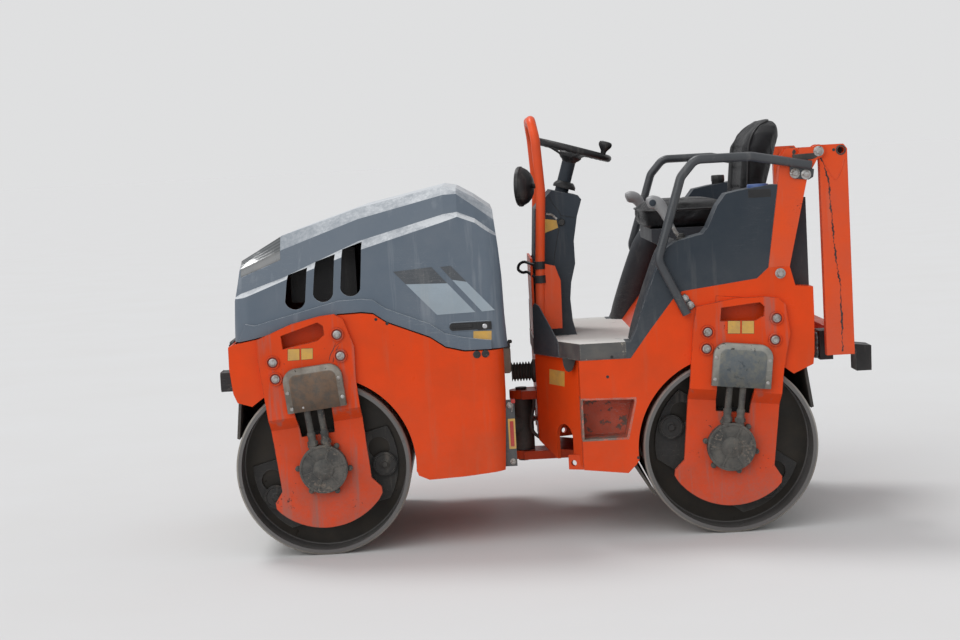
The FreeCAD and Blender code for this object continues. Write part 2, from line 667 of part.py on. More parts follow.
def hook_cutter():
    """Arches cut into both slanted corners, where a lashing hook goes in."""
    fall = "(hook_arch_top - hook_arch_half)"
    form = prism("hook_arch", "YZ", "-30", "20", [
        ("hook_arch_half", fall, "hook_arch_half + 0.2"), ("-hook_arch_half", fall),
        ("-hook_arch_half", "150"), ("hook_arch_half", "150")], local=True)
    turn = "atan2(rear_wall_x - facet_x; facet_half - rear_face_half)"
    across = ("rear_face_half + (rear_wall_x - hook_arch_x) * (facet_half - rear_face_half)"
              " / (rear_wall_x - facet_x)")
    left = settle(place(group("hook_arch_left", form), "hook_arch_x", across, "0", (0, 0, 1), turn))
    return [left, mirror("hook_arch_right", left)]


def tie_tab():
    """Left tie-down tab, the cutter for its eye and the room for a hook behind it."""
    relief = rod("tie_relief", "Y", "0", "-tie_wall / 2 - 40", "tie_z", "tie_radius + 5", "40", local=True)
    tab = box("tie_plate", "-tie_rear", "-tie_wall / 2", "tie_z - 22", "tie_rear + tie_front", "tie_wall",
              "50", local=True)
    eye = rod("tie_eye", "Y", "0", "-tie_wall / 2 - 3", "tie_z", "tie_radius", "tie_wall + 6", local=True)
    return [settle(place(group(name, form), "tie_x", "tie_y", "0", (0, 0, 1), "-tie_turn"))
            for name, form in (("tie_tab_left", tab), ("tie_eye_left", eye), ("tie_room_left", relief))]


def rear_frame():
    """Rear body: a shell open below, with the ears of the steering joint, the tie-downs and side plates."""
    half = "side_reach - side_wall"
    outer, inner, shell = hollow("rear_body", rear_side(), rear_plan(half), rear_plan("side_reach + 60"),
                                 half, "side_reach + 20", "side_wall")
    well, over = arch("rear_arch", outer, "-half_wheelbase")
    below = doc.addObject("Part::Feature", "belly_form")
    below.Shape = inner.Shape.translated(V(0, 0, -3 * value("side_wall")))
    reach = [box("belly_middle", "step_rear_x - 60", "-facet_half", "rear_floor - 60",
                 "front_part_x - step_rear_x + 60", "2 * facet_half", "200")]
    for side, low in (("left", "belly_keep"), ("right", "-facet_half")):
        reach.append(box("belly_" + side, "front_part_x - 1", low, "rear_floor - 60",
                         "rear_wall_x - front_part_x + 1", "facet_half - belly_keep", "200"))
    tab, eye, relief = tie_tab()
    open_shell = cut("rear_shell_open", shell, common("belly_opening", below, fuse("belly_reach", *reach)),
                     relief, mirror("tie_room_right", relief))
    added = [open_shell, over, tab, mirror("tie_tab_right", tab)]
    removed = [well, eye, mirror("tie_eye_right", eye), *hook_cutter()]
    for level, low, root in (("low", "ear_low", "facet_x - 18"),
                             ("high", "ear_high - ear_wall", "rear_wall_x - side_wall")):
        added.append(rod("ear_eye_" + level, "Z", "0", "0", low, "yoke_radius + 2", "ear_wall"))
        added.append(box("ear_plate_" + level, root, "-yoke_radius - 20", low, "-(%s)" % root,
                         "2 * yoke_radius + 40", "ear_wall"))
    added.append(rod("base_pin", "Z", "base_x", "base_y", "rear_floor", "base_pin_radius",
                     "swing_z + 30 - rear_floor"))
    added.append(box("base_beam", "base_x - 22", "base_y - 22", "rear_floor",
                     "max(44; facet_x - base_x + 22)", "82", "ear_wall"))
    removed.append(rod("king_bore", "Z", "0", "0", "ear_low - 5", "king_pin + bearing_gap",
                       "ear_high - ear_low + 10"))
    removed.append(box("cylinder_window", "rear_wall_x - 2 * side_wall", "window_y", "window_z",
                       "2 * side_wall + 5", "window_wide", "window_tall"))
    liners = [step_liner(sign, "step_wall", "step_depth + step_wall") for sign in ("", "-")]
    made = cut("rear_body_made", fuse("rear_body_weld", *added), *removed, *liners)
    half_deep = "side_reach + part_room"
    front_part = fuse("front_part_reach", box("front_part_all", "front_part_x", "-(%s)" % half_deep, "100",
                                              "100 - front_part_x", "2 * (%s)" % half_deep, "900"),
                      box("front_part_beam", "base_x - 30", "base_y - 30", "rear_floor",
                          "max(50; facet_x - base_x + 20)", "100", "swing_z + 60 - rear_floor"))
    level, crown = "drum_usual + 270", "drum_usual + drum_radius + arch_clearance + arch_wall + 40"
    arch_part = prism("arch_part_reach", "XZ", "-(%s)" % half_deep, half_deep, [
        ("front_part_x", "180"), ("front_part_x", level), ("-430", level), ("-500", crown + " - 20"),
        ("-560", crown), ("-790", crown), ("-850", crown + " - 20"), ("tail_part_x", level),
        ("tail_part_x", "180")])
    deck_part = box("deck_part_reach", "deck_toe", "-(%s)" % half_deep, "570", "front_part_x - deck_toe",
                    "2 * (%s)" % half_deep, "60")
    tail_part = box("tail_part_reach", "tail_x - 50", "-(%s)" % half_deep, "300", "tail_part_x - tail_x + 50",
                    "2 * (%s)" % half_deep, "700")
    node("rear_frame", common("rear_frame_made", made, front_part))
    node("rear_arch", cut("rear_arch_made", common("rear_arch_part", made, arch_part), front_part))
    node("deck_bearer", common("deck_bearer_made", made, deck_part))
    node("rear_tail", common("rear_tail_made", made, tail_part))
    node("rear_slope", cut("rear_slope_made", made, front_part, arch_part, deck_part, tail_part))
    rear_side_plates(well, liners, half)


def rear_side_plates(well, liners, half):
    """Side plates of the rear body and the pockets of the steps that are let into them."""
    room = plate("rear_handle_room", "XZ", "-side_reach - 5", "side_reach + 5",
                 [("-92", "402"), ("86", "402"), ("86", "496"), ("-92", "496")], local=True)
    settle(place(room, "-half_wheelbase", "0", "drum_usual", (0, 1, 0), "rear_lean"))
    behind = box("rear_side_reach", "tail_x - 50", "-side_reach - 5", "100", "facet_x - tail_x + 50",
                 "2 * side_reach + 10", "900")
    sides, pockets = [], []
    for side, sign, low, liner in (("left", "", half, liners[0]), ("right", "-", "-side_reach", liners[1])):
        form = common("rear_side_" + side, prism("rear_side_form_" + side, "XZ", low, "%s + side_wall" % low,
                                                 rear_side()), behind)
        sides.append(cut("rear_side_made_" + side, form, well, liner, room))
        pockets.append(cut("step_pocket_" + side, liner, step_liner(sign, "0", "step_depth")))
    node("rear_sides", group("rear_side_pair", *sides))
    node("step_pockets", group("step_pocket_pair", *pockets))


LEG_OUTLINE = [
    ("-leg_flare + 13", "foot_low + 70", "foot_radius"), ("leg_flare - 13", "foot_low + 70"),
    ("leg_flare", "-112"), ("leg_flare", "-92"), ("leg_half - 3", "-57"), ("leg_half", "178"),
    ("leg_half + 2", "386"), ("leg_half - 4", "leg_low_top"), ("28", "leg_high_top - 12"),
    ("-69", "leg_high_top"), ("-116", "leg_high_top - 1"), ("-143", "leg_high_top - 21"),
    ("-leg_half - 12", "386"), ("-leg_half", "272"), ("-leg_half + 3", "-57"), ("-leg_flare", "-92"),
    ("-leg_flare", "-112"),
]
HANDLE = [("68", "414"), ("68", "458"), ("-58", "484"), ("-74", "470"), ("-74", "440"), ("-50", "424")]
LEG_BOLTS = (("107", "376"), ("107", "321"), ("-116", "435"), ("-116", "364"))


def handle_holes(end, hub_x, lean):
    """The handle holes again, as cutters for the side plates behind both legs."""
    cutter = plate(end + "_handle_cutter", "XZ", "-side_reach - 5", "side_reach + 5", HANDLE, local=True)
    middle = plate(end + "_handle_middle", "XZ", "-side_reach + 2 * side_wall", "side_reach - 2 * side_wall",
                   [("-90", "400"), ("90", "400"), ("90", "500"), ("-90", "500")], local=True)
    return settle(place(cut(end + "_handles", cutter, middle), hub_x, "0", "drum_usual", (0, 1, 0), lean))


def leg(name):
    """Leg beside a drum: a plate set in below its crank, with handle hole, hose window and hub bore."""
    face = "side_reach + leg_wall"
    window = [("-hose_window_half", "hose_window_high"), ("-hose_window_half", "196"),
              ("-hose_window_half + 6", "hose_window_low"), ("hose_window_half - 3", "hose_window_low"),
              ("hose_window_half + 4", "196"), ("hose_window_half + 4", "hose_window_high")]
    outline = plate(name + "_form", "XZ", "400", "600", LEG_OUTLINE, HANDLE, window, local=True)
    strip = plate(name + "_strip", "YZ", "-250", "250", [
        ("side_reach", "600"), ("side_reach", "crank_high + 4"), ("side_reach - leg_crank", "crank_low + 4"),
        ("side_reach - leg_crank", "-300"), (face + " - leg_crank", "-300"),
        (face + " - leg_crank", "crank_low"), (face, "crank_high"), (face, "600")], local=True)
    bare = common(name + "_bare", outline, strip)
    washers = [rod("%s_washer%d" % (name, i), "Y", x, face, z, "boss_radius", "boss_rise", local=True)
               for i, (x, z) in enumerate(LEG_BOLTS)]
    hub = rod(name + "_bore", "Y", "0", "400", "0", "hub_bore", "200", local=True)
    return cut(name + "_made", fuse(name + "_weld", bare, *washers), hub)


def hub_motor(name):
    """Hub motor through a leg, its cover outside with six lugs, and two hoses that rise behind the shield."""
    inner, outer = "side_reach - leg_crank", "side_reach - leg_crank + leg_wall"
    start = "disc_outside + carrier_wall + run_gap"
    body = spin(name + "_body", "YZ", "H_Axis", [
        (start, "0"), (start, "motor_radius"), (inner, "motor_radius"), (inner, "hub_bore - run_gap"),
        (outer, "hub_bore - run_gap"), (outer, "hub_radius"), (outer + " + hub_rise - 6", "hub_radius"),
        (outer + " + hub_rise", "hub_radius - 7"), (outer + " + hub_rise", "0")], local=True)
    parts = [body]
    for i in range(6):
        turn = math.radians(60 * i + 8)
        reach = "(hub_radius + lug_out)"
        parts.append(rod("%s_lug%d" % (name, i), "Y", "%s * %.4f" % (reach, math.cos(turn)), outer,
                         "%s * %.4f" % (reach, math.sin(turn)), "lug_radius", "lug_rise", local=True))
    for i, sign in enumerate(("-", "")):
        u = "%shose_apart" % sign
        parts.append(bent_tube("%s_hose%d" % (name, i), [
            (u, outer + " + hub_rise - 12", "hub_radius - 20"), (u, outer + " + hub_rise - 10", "130"),
            (u, "side_reach + leg_wall + 3", "205"), (u, "side_reach + leg_wall + 3", "hose_high")],
            "hose_radius", "60", local=True))
    return fuse(name + "_made", *parts)


def shield(name):
    """Cover over the hoses: a shallow tray with two cut corners, open below."""
    def tray(label, wall, low, depth):
        return plate(label, "XZ", "side_reach + leg_wall", depth, [
            ("shield_rear + %s" % wall, low), ("shield_front - %s" % wall, low),
            ("shield_front - %s" % wall, "shield_high - shield_corner"),
            ("shield_front - shield_corner", "shield_high - %s" % wall),
            ("shield_rear + shield_corner", "shield_high - %s" % wall),
            ("shield_rear + %s" % wall, "shield_high - shield_corner")], local=True)
    outer = tray(name + "_outer", "0", "shield_low", "side_reach + leg_wall + shield_rise")
    inner = tray(name + "_inner", "shield_wall", "shield_low - 10",
                 "side_reach + leg_wall + shield_rise - shield_wall")
    return cut(name + "_made", outer, inner)


def drum_sides():
    """Legs, hub motors and shields of both drums; a right piece mirrors the left one."""
    for end, hub_x, lean in (("front", "half_wheelbase", "front_lean"),
                             ("rear", "-half_wheelbase", "rear_lean")):
        for piece, make in (("leg", leg), ("hub_motor", hub_motor), ("shield", shield)):
            left = make("%s_%s" % (end, piece))
            place(left, hub_x, "0", "drum_usual", (0, 1, 0), lean)
            settle(left)
            right = mirror("%s_%s_mirrored" % (end, piece), left)
            node("%s_%ss" % (end, piece), group("%s_%s_pair" % (end, piece), left, right))


def drum(name, hub_x, lean):
    """Drum shell with its two recessed discs, and the lobed carrier plates with their rubber buffers."""
    inner, disc = "drum_radius - rim_wall", "disc_outside - disc_wall"
    profile = [
        ("-drum_half", "drum_radius - rim_chamfer"), ("-drum_half", inner), ("-disc_outside", inner),
        ("-disc_outside", "0"), ("-(%s)" % disc, "0"), ("-(%s)" % disc, inner), (disc, inner), (disc, "0"),
        ("disc_outside", "0"), ("disc_outside", inner), ("drum_half", inner),
        ("drum_half", "drum_radius - rim_chamfer"), ("drum_half - rim_chamfer", "drum_radius"),
        ("-drum_half + rim_chamfer", "drum_radius")]
    shell = spin(name + "_shell", "YZ", "H_Axis", profile, local=True)
    node(name, settle(place(shell, hub_x, "0", "drum_usual")))
    face = "disc_outside + carrier_wall"
    blank = plate(name + "_carrier_blank", "XZ", "disc_outside", face, [
        ("-260", "-172"), ("260", "-172"), ("260", "lobe_half - 8"), ("-260", "lobe_half - 8")], local=True)
    limit = rod(name + "_carrier_limit", "Y", "0", "disc_outside", "0", "carrier_reach", "carrier_wall",
                local=True)
    hub = rod(name + "_carrier_hub", "Y", "0", "disc_outside", "0", "carrier_hub", "carrier_wall", local=True)
    pads, holes = [], []
    for i, sign in enumerate(("-", "")):
        pads.append(rod("%s_buffer%d" % (name, i), "Y", "%sbuffer_centre * 0.93" % sign, face,
                        "-buffer_centre * 0.27", "buffer_radius", "buffer_rise", local=True))
        holes.append(rod("%s_eye%d" % (name, i), "Y", "%s(buffer_centre - 18)" % sign, "disc_outside - 5",
                         "window_rise - 50", "window_radius", "carrier_wall + 10", local=True))
    lobes = common(name + "_carrier_lobes", blank, limit)
    left = cut(name + "_carrier_cut", fuse(name + "_carrier_disc", lobes, hub), *holes)
    left = fuse(name + "_carrier_left", left, *pads)
    settle(place(left, hub_x, "0", "drum_usual", (0, 1, 0), lean))
    node(name + "_carriers", group(name + "_carrier_pair", left, mirror(name + "_carrier_right", left)))


HOOD_STATIONS = (
    # x, shelf z, band z, edge z, flat z
    (30, 995, 1007, 1048, 1080),
    (133, 1074, 1088, 1128, 1156),
    (190, 1097, 1112, 1171, 1190),
    (235, 1083, 1107, 1170, 1199),
    (520, 1004, 1033, 1105, 1141),
    (776, 916, 926, 1017, 1063),
    (918, 863, 880, 959, 984),
    (955, 848, 858, 890, 900),
)
SLOTS = (
    # front x, top z, foot z
    (758, 934, 845),
    (665, 973, 865),
    (574, 1009, 879),
)


def hood_form(name, wall):
    """Outer form of the hood, or its inside where the wall is taken off."""
    stations = []
    for x, shelf, band, edge, flat in HOOD_STATIONS:
        half = [("hood_side - %s" % wall, "500"), ("hood_side - %s" % wall, "%d - %s" % (shelf, wall)),
                ("hood_upper - %s" % wall, "%d - %s" % (band, wall)),
                ("hood_edge - %s" % wall, "%d - %s" % (edge, wall)),
                ("hood_flat - %s" % wall, "%d - %s" % (flat, wall))]
        stations.append((str(x), half + [("-(%s)" % y, z) for y, z in reversed(half)]))
    return loft(name, stations)


def hood():
    """Hood: a shell over the engine with its lip, air slots and two headlight lenses at the front."""
    lines = [("hood_rear_x", "body_line + hood_gap"), ("188", "body_line + hood_gap"),
             ("250", "body_line + 16 + hood_gap"), ("299", "704 + hood_gap"), ("440", "762 + hood_gap"),
             ("483", "crest_z - 3 + hood_gap"), ("crest_x - 76", "crest_z + 2 + hood_gap"),
             ("crest_x", "crest_z + hood_gap"), ("874", "729 + hood_gap"), ("948", "nose_top + 8 + hood_gap")]
    side = lines + [("938", "856"), ("919", "962"), ("880", "1210"), ("hood_rear_x + 32", "1210"),
                    ("hood_rear_x + 26", "1090"), ("hood_rear_x + 16", "989"), ("hood_rear_x + 9", "894"),
                    ("hood_rear_x + 6", "767")]
    side_in = [("hood_rear_x + hood_wall", "500"), ("941", "500"), ("941", "721"), ("931", "856"),
               ("912", "960"), ("873", "1210"), ("hood_rear_x + 39", "1210"), ("hood_rear_x + 33", "1090"),
               ("hood_rear_x + 23", "989"), ("hood_rear_x + 16", "894"), ("hood_rear_x + 13", "767")]

    def plan(inset):
        back, front, half = "hood_rear_x + " + inset, "948 - " + inset, "hood_side - " + inset
        turn = "corner_round - " + inset
        return [("%s + %s" % (back, turn), "-(%s)" % half),
                ("%s - (%s)" % (front, turn), "-(%s)" % half, turn),
                (front, "-(%s) + (%s)" % (half, turn)), (front, "(%s) - (%s)" % (half, turn), turn),
                ("%s - (%s)" % (front, turn), half), ("%s + %s" % (back, turn), half, turn),
                (back, "(%s) - (%s)" % (half, turn)), (back, "-(%s) + (%s)" % (half, turn), turn)]
    outer = common("hood_outer", hood_form("hood_form", "0"),
                   prism("hood_side_form", "XZ", "-600", "600", side),
                   prism("hood_plan_form", "XY", "400", "1400", plan("0")))
    inner = common("hood_inner", hood_form("hood_inner_form", "hood_wall"),
                   prism("hood_side_inner", "XZ", "-600", "600", side_in),
                   prism("hood_plan_inner", "XY", "400", "1400", plan("hood_wall")))
    shell = cut("hood_shell", outer, inner)
    lip = [(x, z) for x, z in lines] + [(x, "%s + lip_height" % z) for x, z in reversed(lines)]
    lip[9], lip[10] = ("930", "nose_top + 11 + hood_gap"), ("905", "nose_top + 31 + lip_height")
    lip[0], lip[-1] = ("100", "body_line + hood_gap"), ("100", "body_line + hood_gap + lip_height * 0.7")
    added, removed = [shell], []
    for side_name, low in (("left", "lip_reach - lip_wall"), ("right", "-lip_reach")):
        added.append(prism("hood_lip_" + side_name, "XZ", low, "%s + lip_wall" % low, lip))
    for i, sign in enumerate(("", "-")):
        middle = "%shinge_y" % sign
        added.append(box("hinge_leaf%d" % i, "hinge_x - 21", "%s - hinge_half" % middle, "hinge_z - 2", "21",
                         "2 * hinge_half", "10"))
        added.append(rod("hinge_eye%d" % i, "Y", "hinge_x", "%s - hinge_half" % middle, "hinge_z",
                         "hinge_eye", "2 * hinge_half"))
    for number, (front, top, foot) in enumerate(SLOTS):
        front_x, rear_x = str(front), "%d - slot_width" % front
        removed.append(prism("slot%d" % number, "XZ", "-600", "600", [
            (front_x, str(top)), (rear_x, "%d + 22" % top),
            ("%s + slot_lean" % rear_x, str(foot), "slot_width / 2 + 1"),
            ("%s + slot_lean" % front_x, str(foot + 3))]))
    lenses = []
    for side_name, low in (("left", "lens_inner"), ("right", "-hood_edge - 8")):
        spot = box("lens_spot_" + side_name, "lens_rear_x", low, "930", "lens_front_x - lens_rear_x",
                   "hood_edge + 8 - lens_inner", "200")
        frame = box("lens_frame_" + side_name, "lens_rear_x - run_gap", "%s - run_gap" % low, "930 - run_gap",
                    "lens_front_x - lens_rear_x + 2 * run_gap",
                    "hood_edge + 8 - lens_inner + 2 * run_gap", "200")
        lenses.append(common("lens_" + side_name, shell, spot))
        removed.append(frame)
    slot_core = box("slot_core", "480", "-380", "500", "320", "760", "600")
    cutters = [cut("slot_sides%d" % i, tool, slot_core) for i, tool in enumerate(removed[:3])]
    for i, sign in enumerate(("", "-")):
        middle = "%shinge_y" % sign
        cutters.append(rod("hinge_bore%d" % i, "Y", "hinge_x", "%s - hinge_half - 2" % middle, "hinge_z",
                           "hinge_pin + bearing_gap", "2 * hinge_half + 4"))
        for j, low in enumerate(("%s - hinge_half - lug_wall - 2" % middle, "%s + hinge_half" % middle)):
            cutters.append(box("lug_notch%d%d" % (i, j), "hinge_x - 40", low, "hinge_z - 30", "60",
                               "lug_wall + 2", "48"))
    node("hood", cut("hood_made", fuse("hood_weld", *added), *cutters, *removed[3:]))
    node("headlights", group("headlight_pair", *lenses))


def steering_joint():
    """Yoke between the bodies: upright on the steering pin, rocking pin to the front and the steering arm."""
    low, high = "ear_low + ear_wall + ear_gap", "ear_high - ear_wall - ear_gap"
    parts = [
        rod("yoke_upright", "Z", "0", "0", low, "yoke_radius", "(%s) - (%s)" % (high, low)),
        rod("king_pin_rod", "Z", "0", "0", "ear_low - 8", "king_pin", "ear_high - ear_low + 16"),
        rod("yoke_neck", "X", "0", "0", "swing_z", "bearing_radius - 3", "front_wall_x - 5"),
        rod("rocking_pin", "X", "0", "0", "swing_z", "trunnion", "front_wall_x + side_wall + trunnion_long"),
        box("arm_bar", "-eye_radius", "-arm_reach", "swing_z - 17 - arm_wall", "2 * eye_radius", "arm_reach",
            "arm_wall"),
        rod("arm_end", "Z", "0", "-arm_reach", "swing_z - 17 - arm_wall", "eye_radius", "arm_wall"),
    ]
    node("yoke", fuse("yoke_made", *parts))


def cylinder_line():
    """Length and angle of the steering cylinder from its base pin to its eye."""
    along = -value("base_x")
    across = -value("arm_reach") - value("base_y")
    return math.hypot(along, across), math.degrees(math.atan2(across, along))


def steering_cylinder():
    """Barrel on its base pin and the rod whose eye stands over the steering arm."""
    length, angle = cylinder_line()
    eye = rod("barrel_eye", "Z", "0", "0", "-12", "barrel_radius", "24", local=True)
    tube = rod("barrel_tube", "X", "0", "0", "0", "barrel_radius", "barrel_long", local=True)
    pin_hole = rod("barrel_pin_hole", "Z", "0", "0", "-30", "base_pin_radius + bearing_gap", "60", local=True)
    bore = rod("barrel_bore", "X", "base_pin_radius + 8", "0", "0", "rod_radius + bearing_gap", "barrel_long",
               local=True)
    barrel = cut("barrel_made", fuse("barrel_weld", eye, tube), pin_hole, bore)
    rod_start = "barrel_long - rod_depth"
    shaft = rod("rod_shaft", "X", rod_start, "0", "0", "rod_radius", "%.3f - (%s)" % (length, rod_start),
                local=True)
    end = rod("rod_eye", "Z", "%.3f" % length, "0", "-12", "eye_radius", "24", local=True)
    piston_rod = fuse("rod_made", shaft, end)
    for name, thing in (("cylinder_barrel", barrel), ("cylinder_rod", piston_rod)):
        node(name, settle(place(thing, "base_x", "base_y", "swing_z", (0, 0, 1), "%.4f" % angle)))


def deck_and_front():
    """Deck, bulkhead, front hoop with its side guards, steering console and the covers beside it."""
    plan = [("deck_front_x", "-rear_face_half"), ("deck_front_x", "rear_face_half"),
            ("deck_corner_x", "deck_reach"), ("deck_heel", "deck_reach"), ("deck_heel", "armrest_inner"),
            ("-398", "armrest_inner"), ("-398", "-armrest_inner"), ("deck_heel", "-armrest_inner"),
            ("deck_heel", "-deck_reach"), ("deck_corner_x", "-deck_reach")]
    slab = plate("deck_slab", "XY", "deck_low", "deck_top", plan)
    slope = plate("deck_slope", "XZ", "-600", "600", [
        ("deck_toe", "deck_low"), ("deck_toe - 69", "deck_low + 90"), ("-500", "deck_low")])
    node("platform", cut("platform_made", slab, slope))
    node("bulkhead", box("bulkhead_plate", "deck_front_x - 4 - bulkhead_wall", "-bulkhead_half", "deck_top",
                         "bulkhead_wall", "2 * bulkhead_half", "bulkhead_top - deck_top"))
    half = [("-73", "hoop_half", "deck_top + 1"), ("-84", "hoop_half", "908"), ("-99", "hoop_half", "1160"),
            ("-89", "hoop_half", "1340"), ("-79", "hoop_half - 60", "hoop_top - hoop_radius")]
    path = half + [(x, "-(%s)" % y, z) for x, y, z in reversed(half)]
    parts = [bent_tube("hoop_tube", path, "hoop_radius", "60")]
    for side_name, low in (("left", "hoop_half - 5"), ("right", "-hoop_half - 5")):
        parts.append(plate("side_guard_" + side_name, "XZ", low, "%s + 10" % low, [
            ("-75", "686"), ("-150", "686"), ("-152", "850"), ("-135", "902"), ("-85", "915")]))
    node("front_hoop", fuse("front_hoop_made", *parts))
    console = plate("console_form", "XZ", "-console_half", "console_half", [
        ("console_front_x", "deck_top"), ("console_front_x", "944"), ("-78", "1097"), ("-138", "1160"),
        ("-229", "1138"), ("-240", "1123"), ("-222", "1066"), ("-207", "981"), ("-208", "903"),
        ("-191", "838"), ("-185", "781"), ("-190", "705"), ("-202", "deck_top")])
    column = rod("column_tube", "Z", "0", "0", "-column_long", "column_radius",
                 "column_long - hub_drop - run_gap", local=True)
    leaning = settle(place(group("column_leaning", column), "wheel_x", "0", "wheel_z", (0, 1, 0),
                           "wheel_lean"))
    node("steering_console", fuse("console_made", console, leaning))
    guards = []
    for side_name, sign in (("left", ""), ("right", "-")):
        cover = doc.addObject("Part::Feature", "splash_guard_" + side_name)
        cover.Shape = slanted_cover(-1 if sign else 1)
        guards.append(cover)
    node("splash_guards", group("splash_guard_pair", *guards))


def slanted_cover(side):
    """Triangular plate that stands on the deck's slanted front edge, a little behind it."""
    front = V(value("pivot_x + deck_front_x"), side * value("rear_face_half"), value("lift + deck_top"))
    corner = V(value("pivot_x + deck_corner_x"), side * value("deck_reach"), value("lift + deck_top"))
    along = corner.sub(front)
    back = V(-along.y, along.x, 0).normalize() if side > 0 else V(along.y, -along.x, 0).normalize()
    start = front.add(V(back).multiply(value("guard_inset")))
    inner = start.add(V(along).multiply(value("guard_start")))
    outer = start.add(V(along).multiply(value("guard_end")))
    corners = [inner, outer, outer.add(V(0, 0, value("guard_toe"))),
               inner.add(V(0, 0, value("guard_tall"))), inner]
    return Part.Face(Part.makePolygon(corners)).extrude(back.multiply(value("guard_wall")))


CONSOLE_OUTLINE = [
    ("deck_heel", "deck_low"), *REAR_TOP, ("-863", "1146"), ("-833", "1146"), ("-754", "1136"),
    ("-693", "1125"), ("-663", "1087"), ("-628", "1016"), ("-612", "998"), ("-549", "984"),
    ("-517", "975"), ("-487", "956"), ("-455", "889"), ("-414", "797"), ("-378", "693"),
    ("-360", "deck_top"), ("deck_heel", "deck_top"),
]


def seat_and_sides():
    """Side consoles with their levers, the seat on its base, the rear tank and the side rails."""
    levers, consoles, rails = [], [], []
    for side_name, sign in (("left", ""), ("right", "-")):
        low = "armrest_inner" if not sign else "-armrest_outer"
        form = plate("armrest_form_" + side_name, "XZ", low, "%s + armrest_outer - armrest_inner" % low,
                     CONSOLE_OUTLINE)
        y = "%slever_y" % sign
        socket = rod("lever_socket_" + side_name, "Z", "-549", y, "960", "grip_radius + 2 + run_gap", "100")
        consoles.append(cut("armrest_made_" + side_name, form, socket))
        boot = rod("lever_boot_" + side_name, "Z", "-549", y, "960", "grip_radius + 2", "38")
        stick = bent_tube("lever_stick_" + side_name,
                          [("-549", y, "985"), ("-535", y, "1030"), ("-497", y, "1082")],
                          "lever_radius", "60")
        knob = doc.addObject("Part::Sphere", "lever_knob_" + side_name)
        knob.setExpression("Radius", bound("grip_radius"))
        settle(place(knob, "-489", y, "1092"))
        levers.append(fuse("lever_made_" + side_name, boot, stick, knob))
        rail_y = "%s(side_reach + rail_radius + run_gap)" % sign
        rails.append(bent_tube("rail_tube_" + side_name, [
            ("-546", rail_y, "738"), ("-460", rail_y, "921"), ("-546", rail_y, "1187"),
            ("-595", rail_y, "1242"),
            ("-777", rail_y, "1242"), ("-973", rail_y, "1203")], "rail_radius", "45"))
    node("travel_levers", group("travel_lever_pair", *levers))
    node("side_consoles", group("side_console_pair", *consoles))
    node("side_rails", group("side_rail_pair", *rails))
    node("seat_base", plate("seat_base_form", "XZ", "-seat_half + 8", "seat_half - 8", [
        ("-535", "813"), ("-783", "842"), ("post_x", "shoulder"), ("-848", "shoulder"),
        ("-848", "cushion_low"), ("-470", "cushion_low"), ("-470", "966"), ("-535", "930")]))
    node("seat_cushion", plate("cushion_form", "XZ", "-seat_half", "seat_half", [
        ("cushion_front_x", "cushion_low + 30"), ("cushion_front_x + 8 - 20", "cushion_low"),
        ("cushion_rear_x", "cushion_low"), ("cushion_rear_x", "cushion_top"),
        ("cushion_front_x - 12", "cushion_top"), ("cushion_front_x", "cushion_top - 30")]))
    depth = plate("backrest_depth", "XZ", "-seat_half", "seat_half", [
        ("cushion_rear_x - run_gap", "cushion_low"), ("-784", "1104"), ("-790", "1147"), ("-797", "1272"),
        ("-820", "1318"), ("-856", "1350"), ("-895", "1364"), ("-927", "1357"), ("-943", "1334"),
        ("-924", "1289"), ("-864", "1108"), ("-848", "cushion_low")])
    right = [("-back_half + 20", "cushion_low"), ("-back_half", "1130"), ("-back_half + 6", "1270"),
             ("-back_half + 26", "1318"), ("-back_half + 66", "1352"), ("-back_half + 120", "1370")]
    breadth = plate("backrest_breadth", "YZ", "-960", "-700",
                    right + [(y.replace("-back_half +", "back_half -").replace("-back_half", "back_half"), z)
                             for y, z in reversed(right)])
    node("seat_back", common("backrest_made", depth, breadth))
    node("rear_tank", plate("tank_form", "XZ", "-tank_half", "tank_half", [
        ("tank_front_x", "shoulder + run_gap"), ("-892", "shoulder + run_gap"),
        ("-908", "tail_top + 6 + run_gap"),
        ("tank_rear_x", "tail_top + 0.2 + run_gap"), ("tank_rear_x", "tank_top - 6"),
        ("tank_front_x", "tank_top")]))


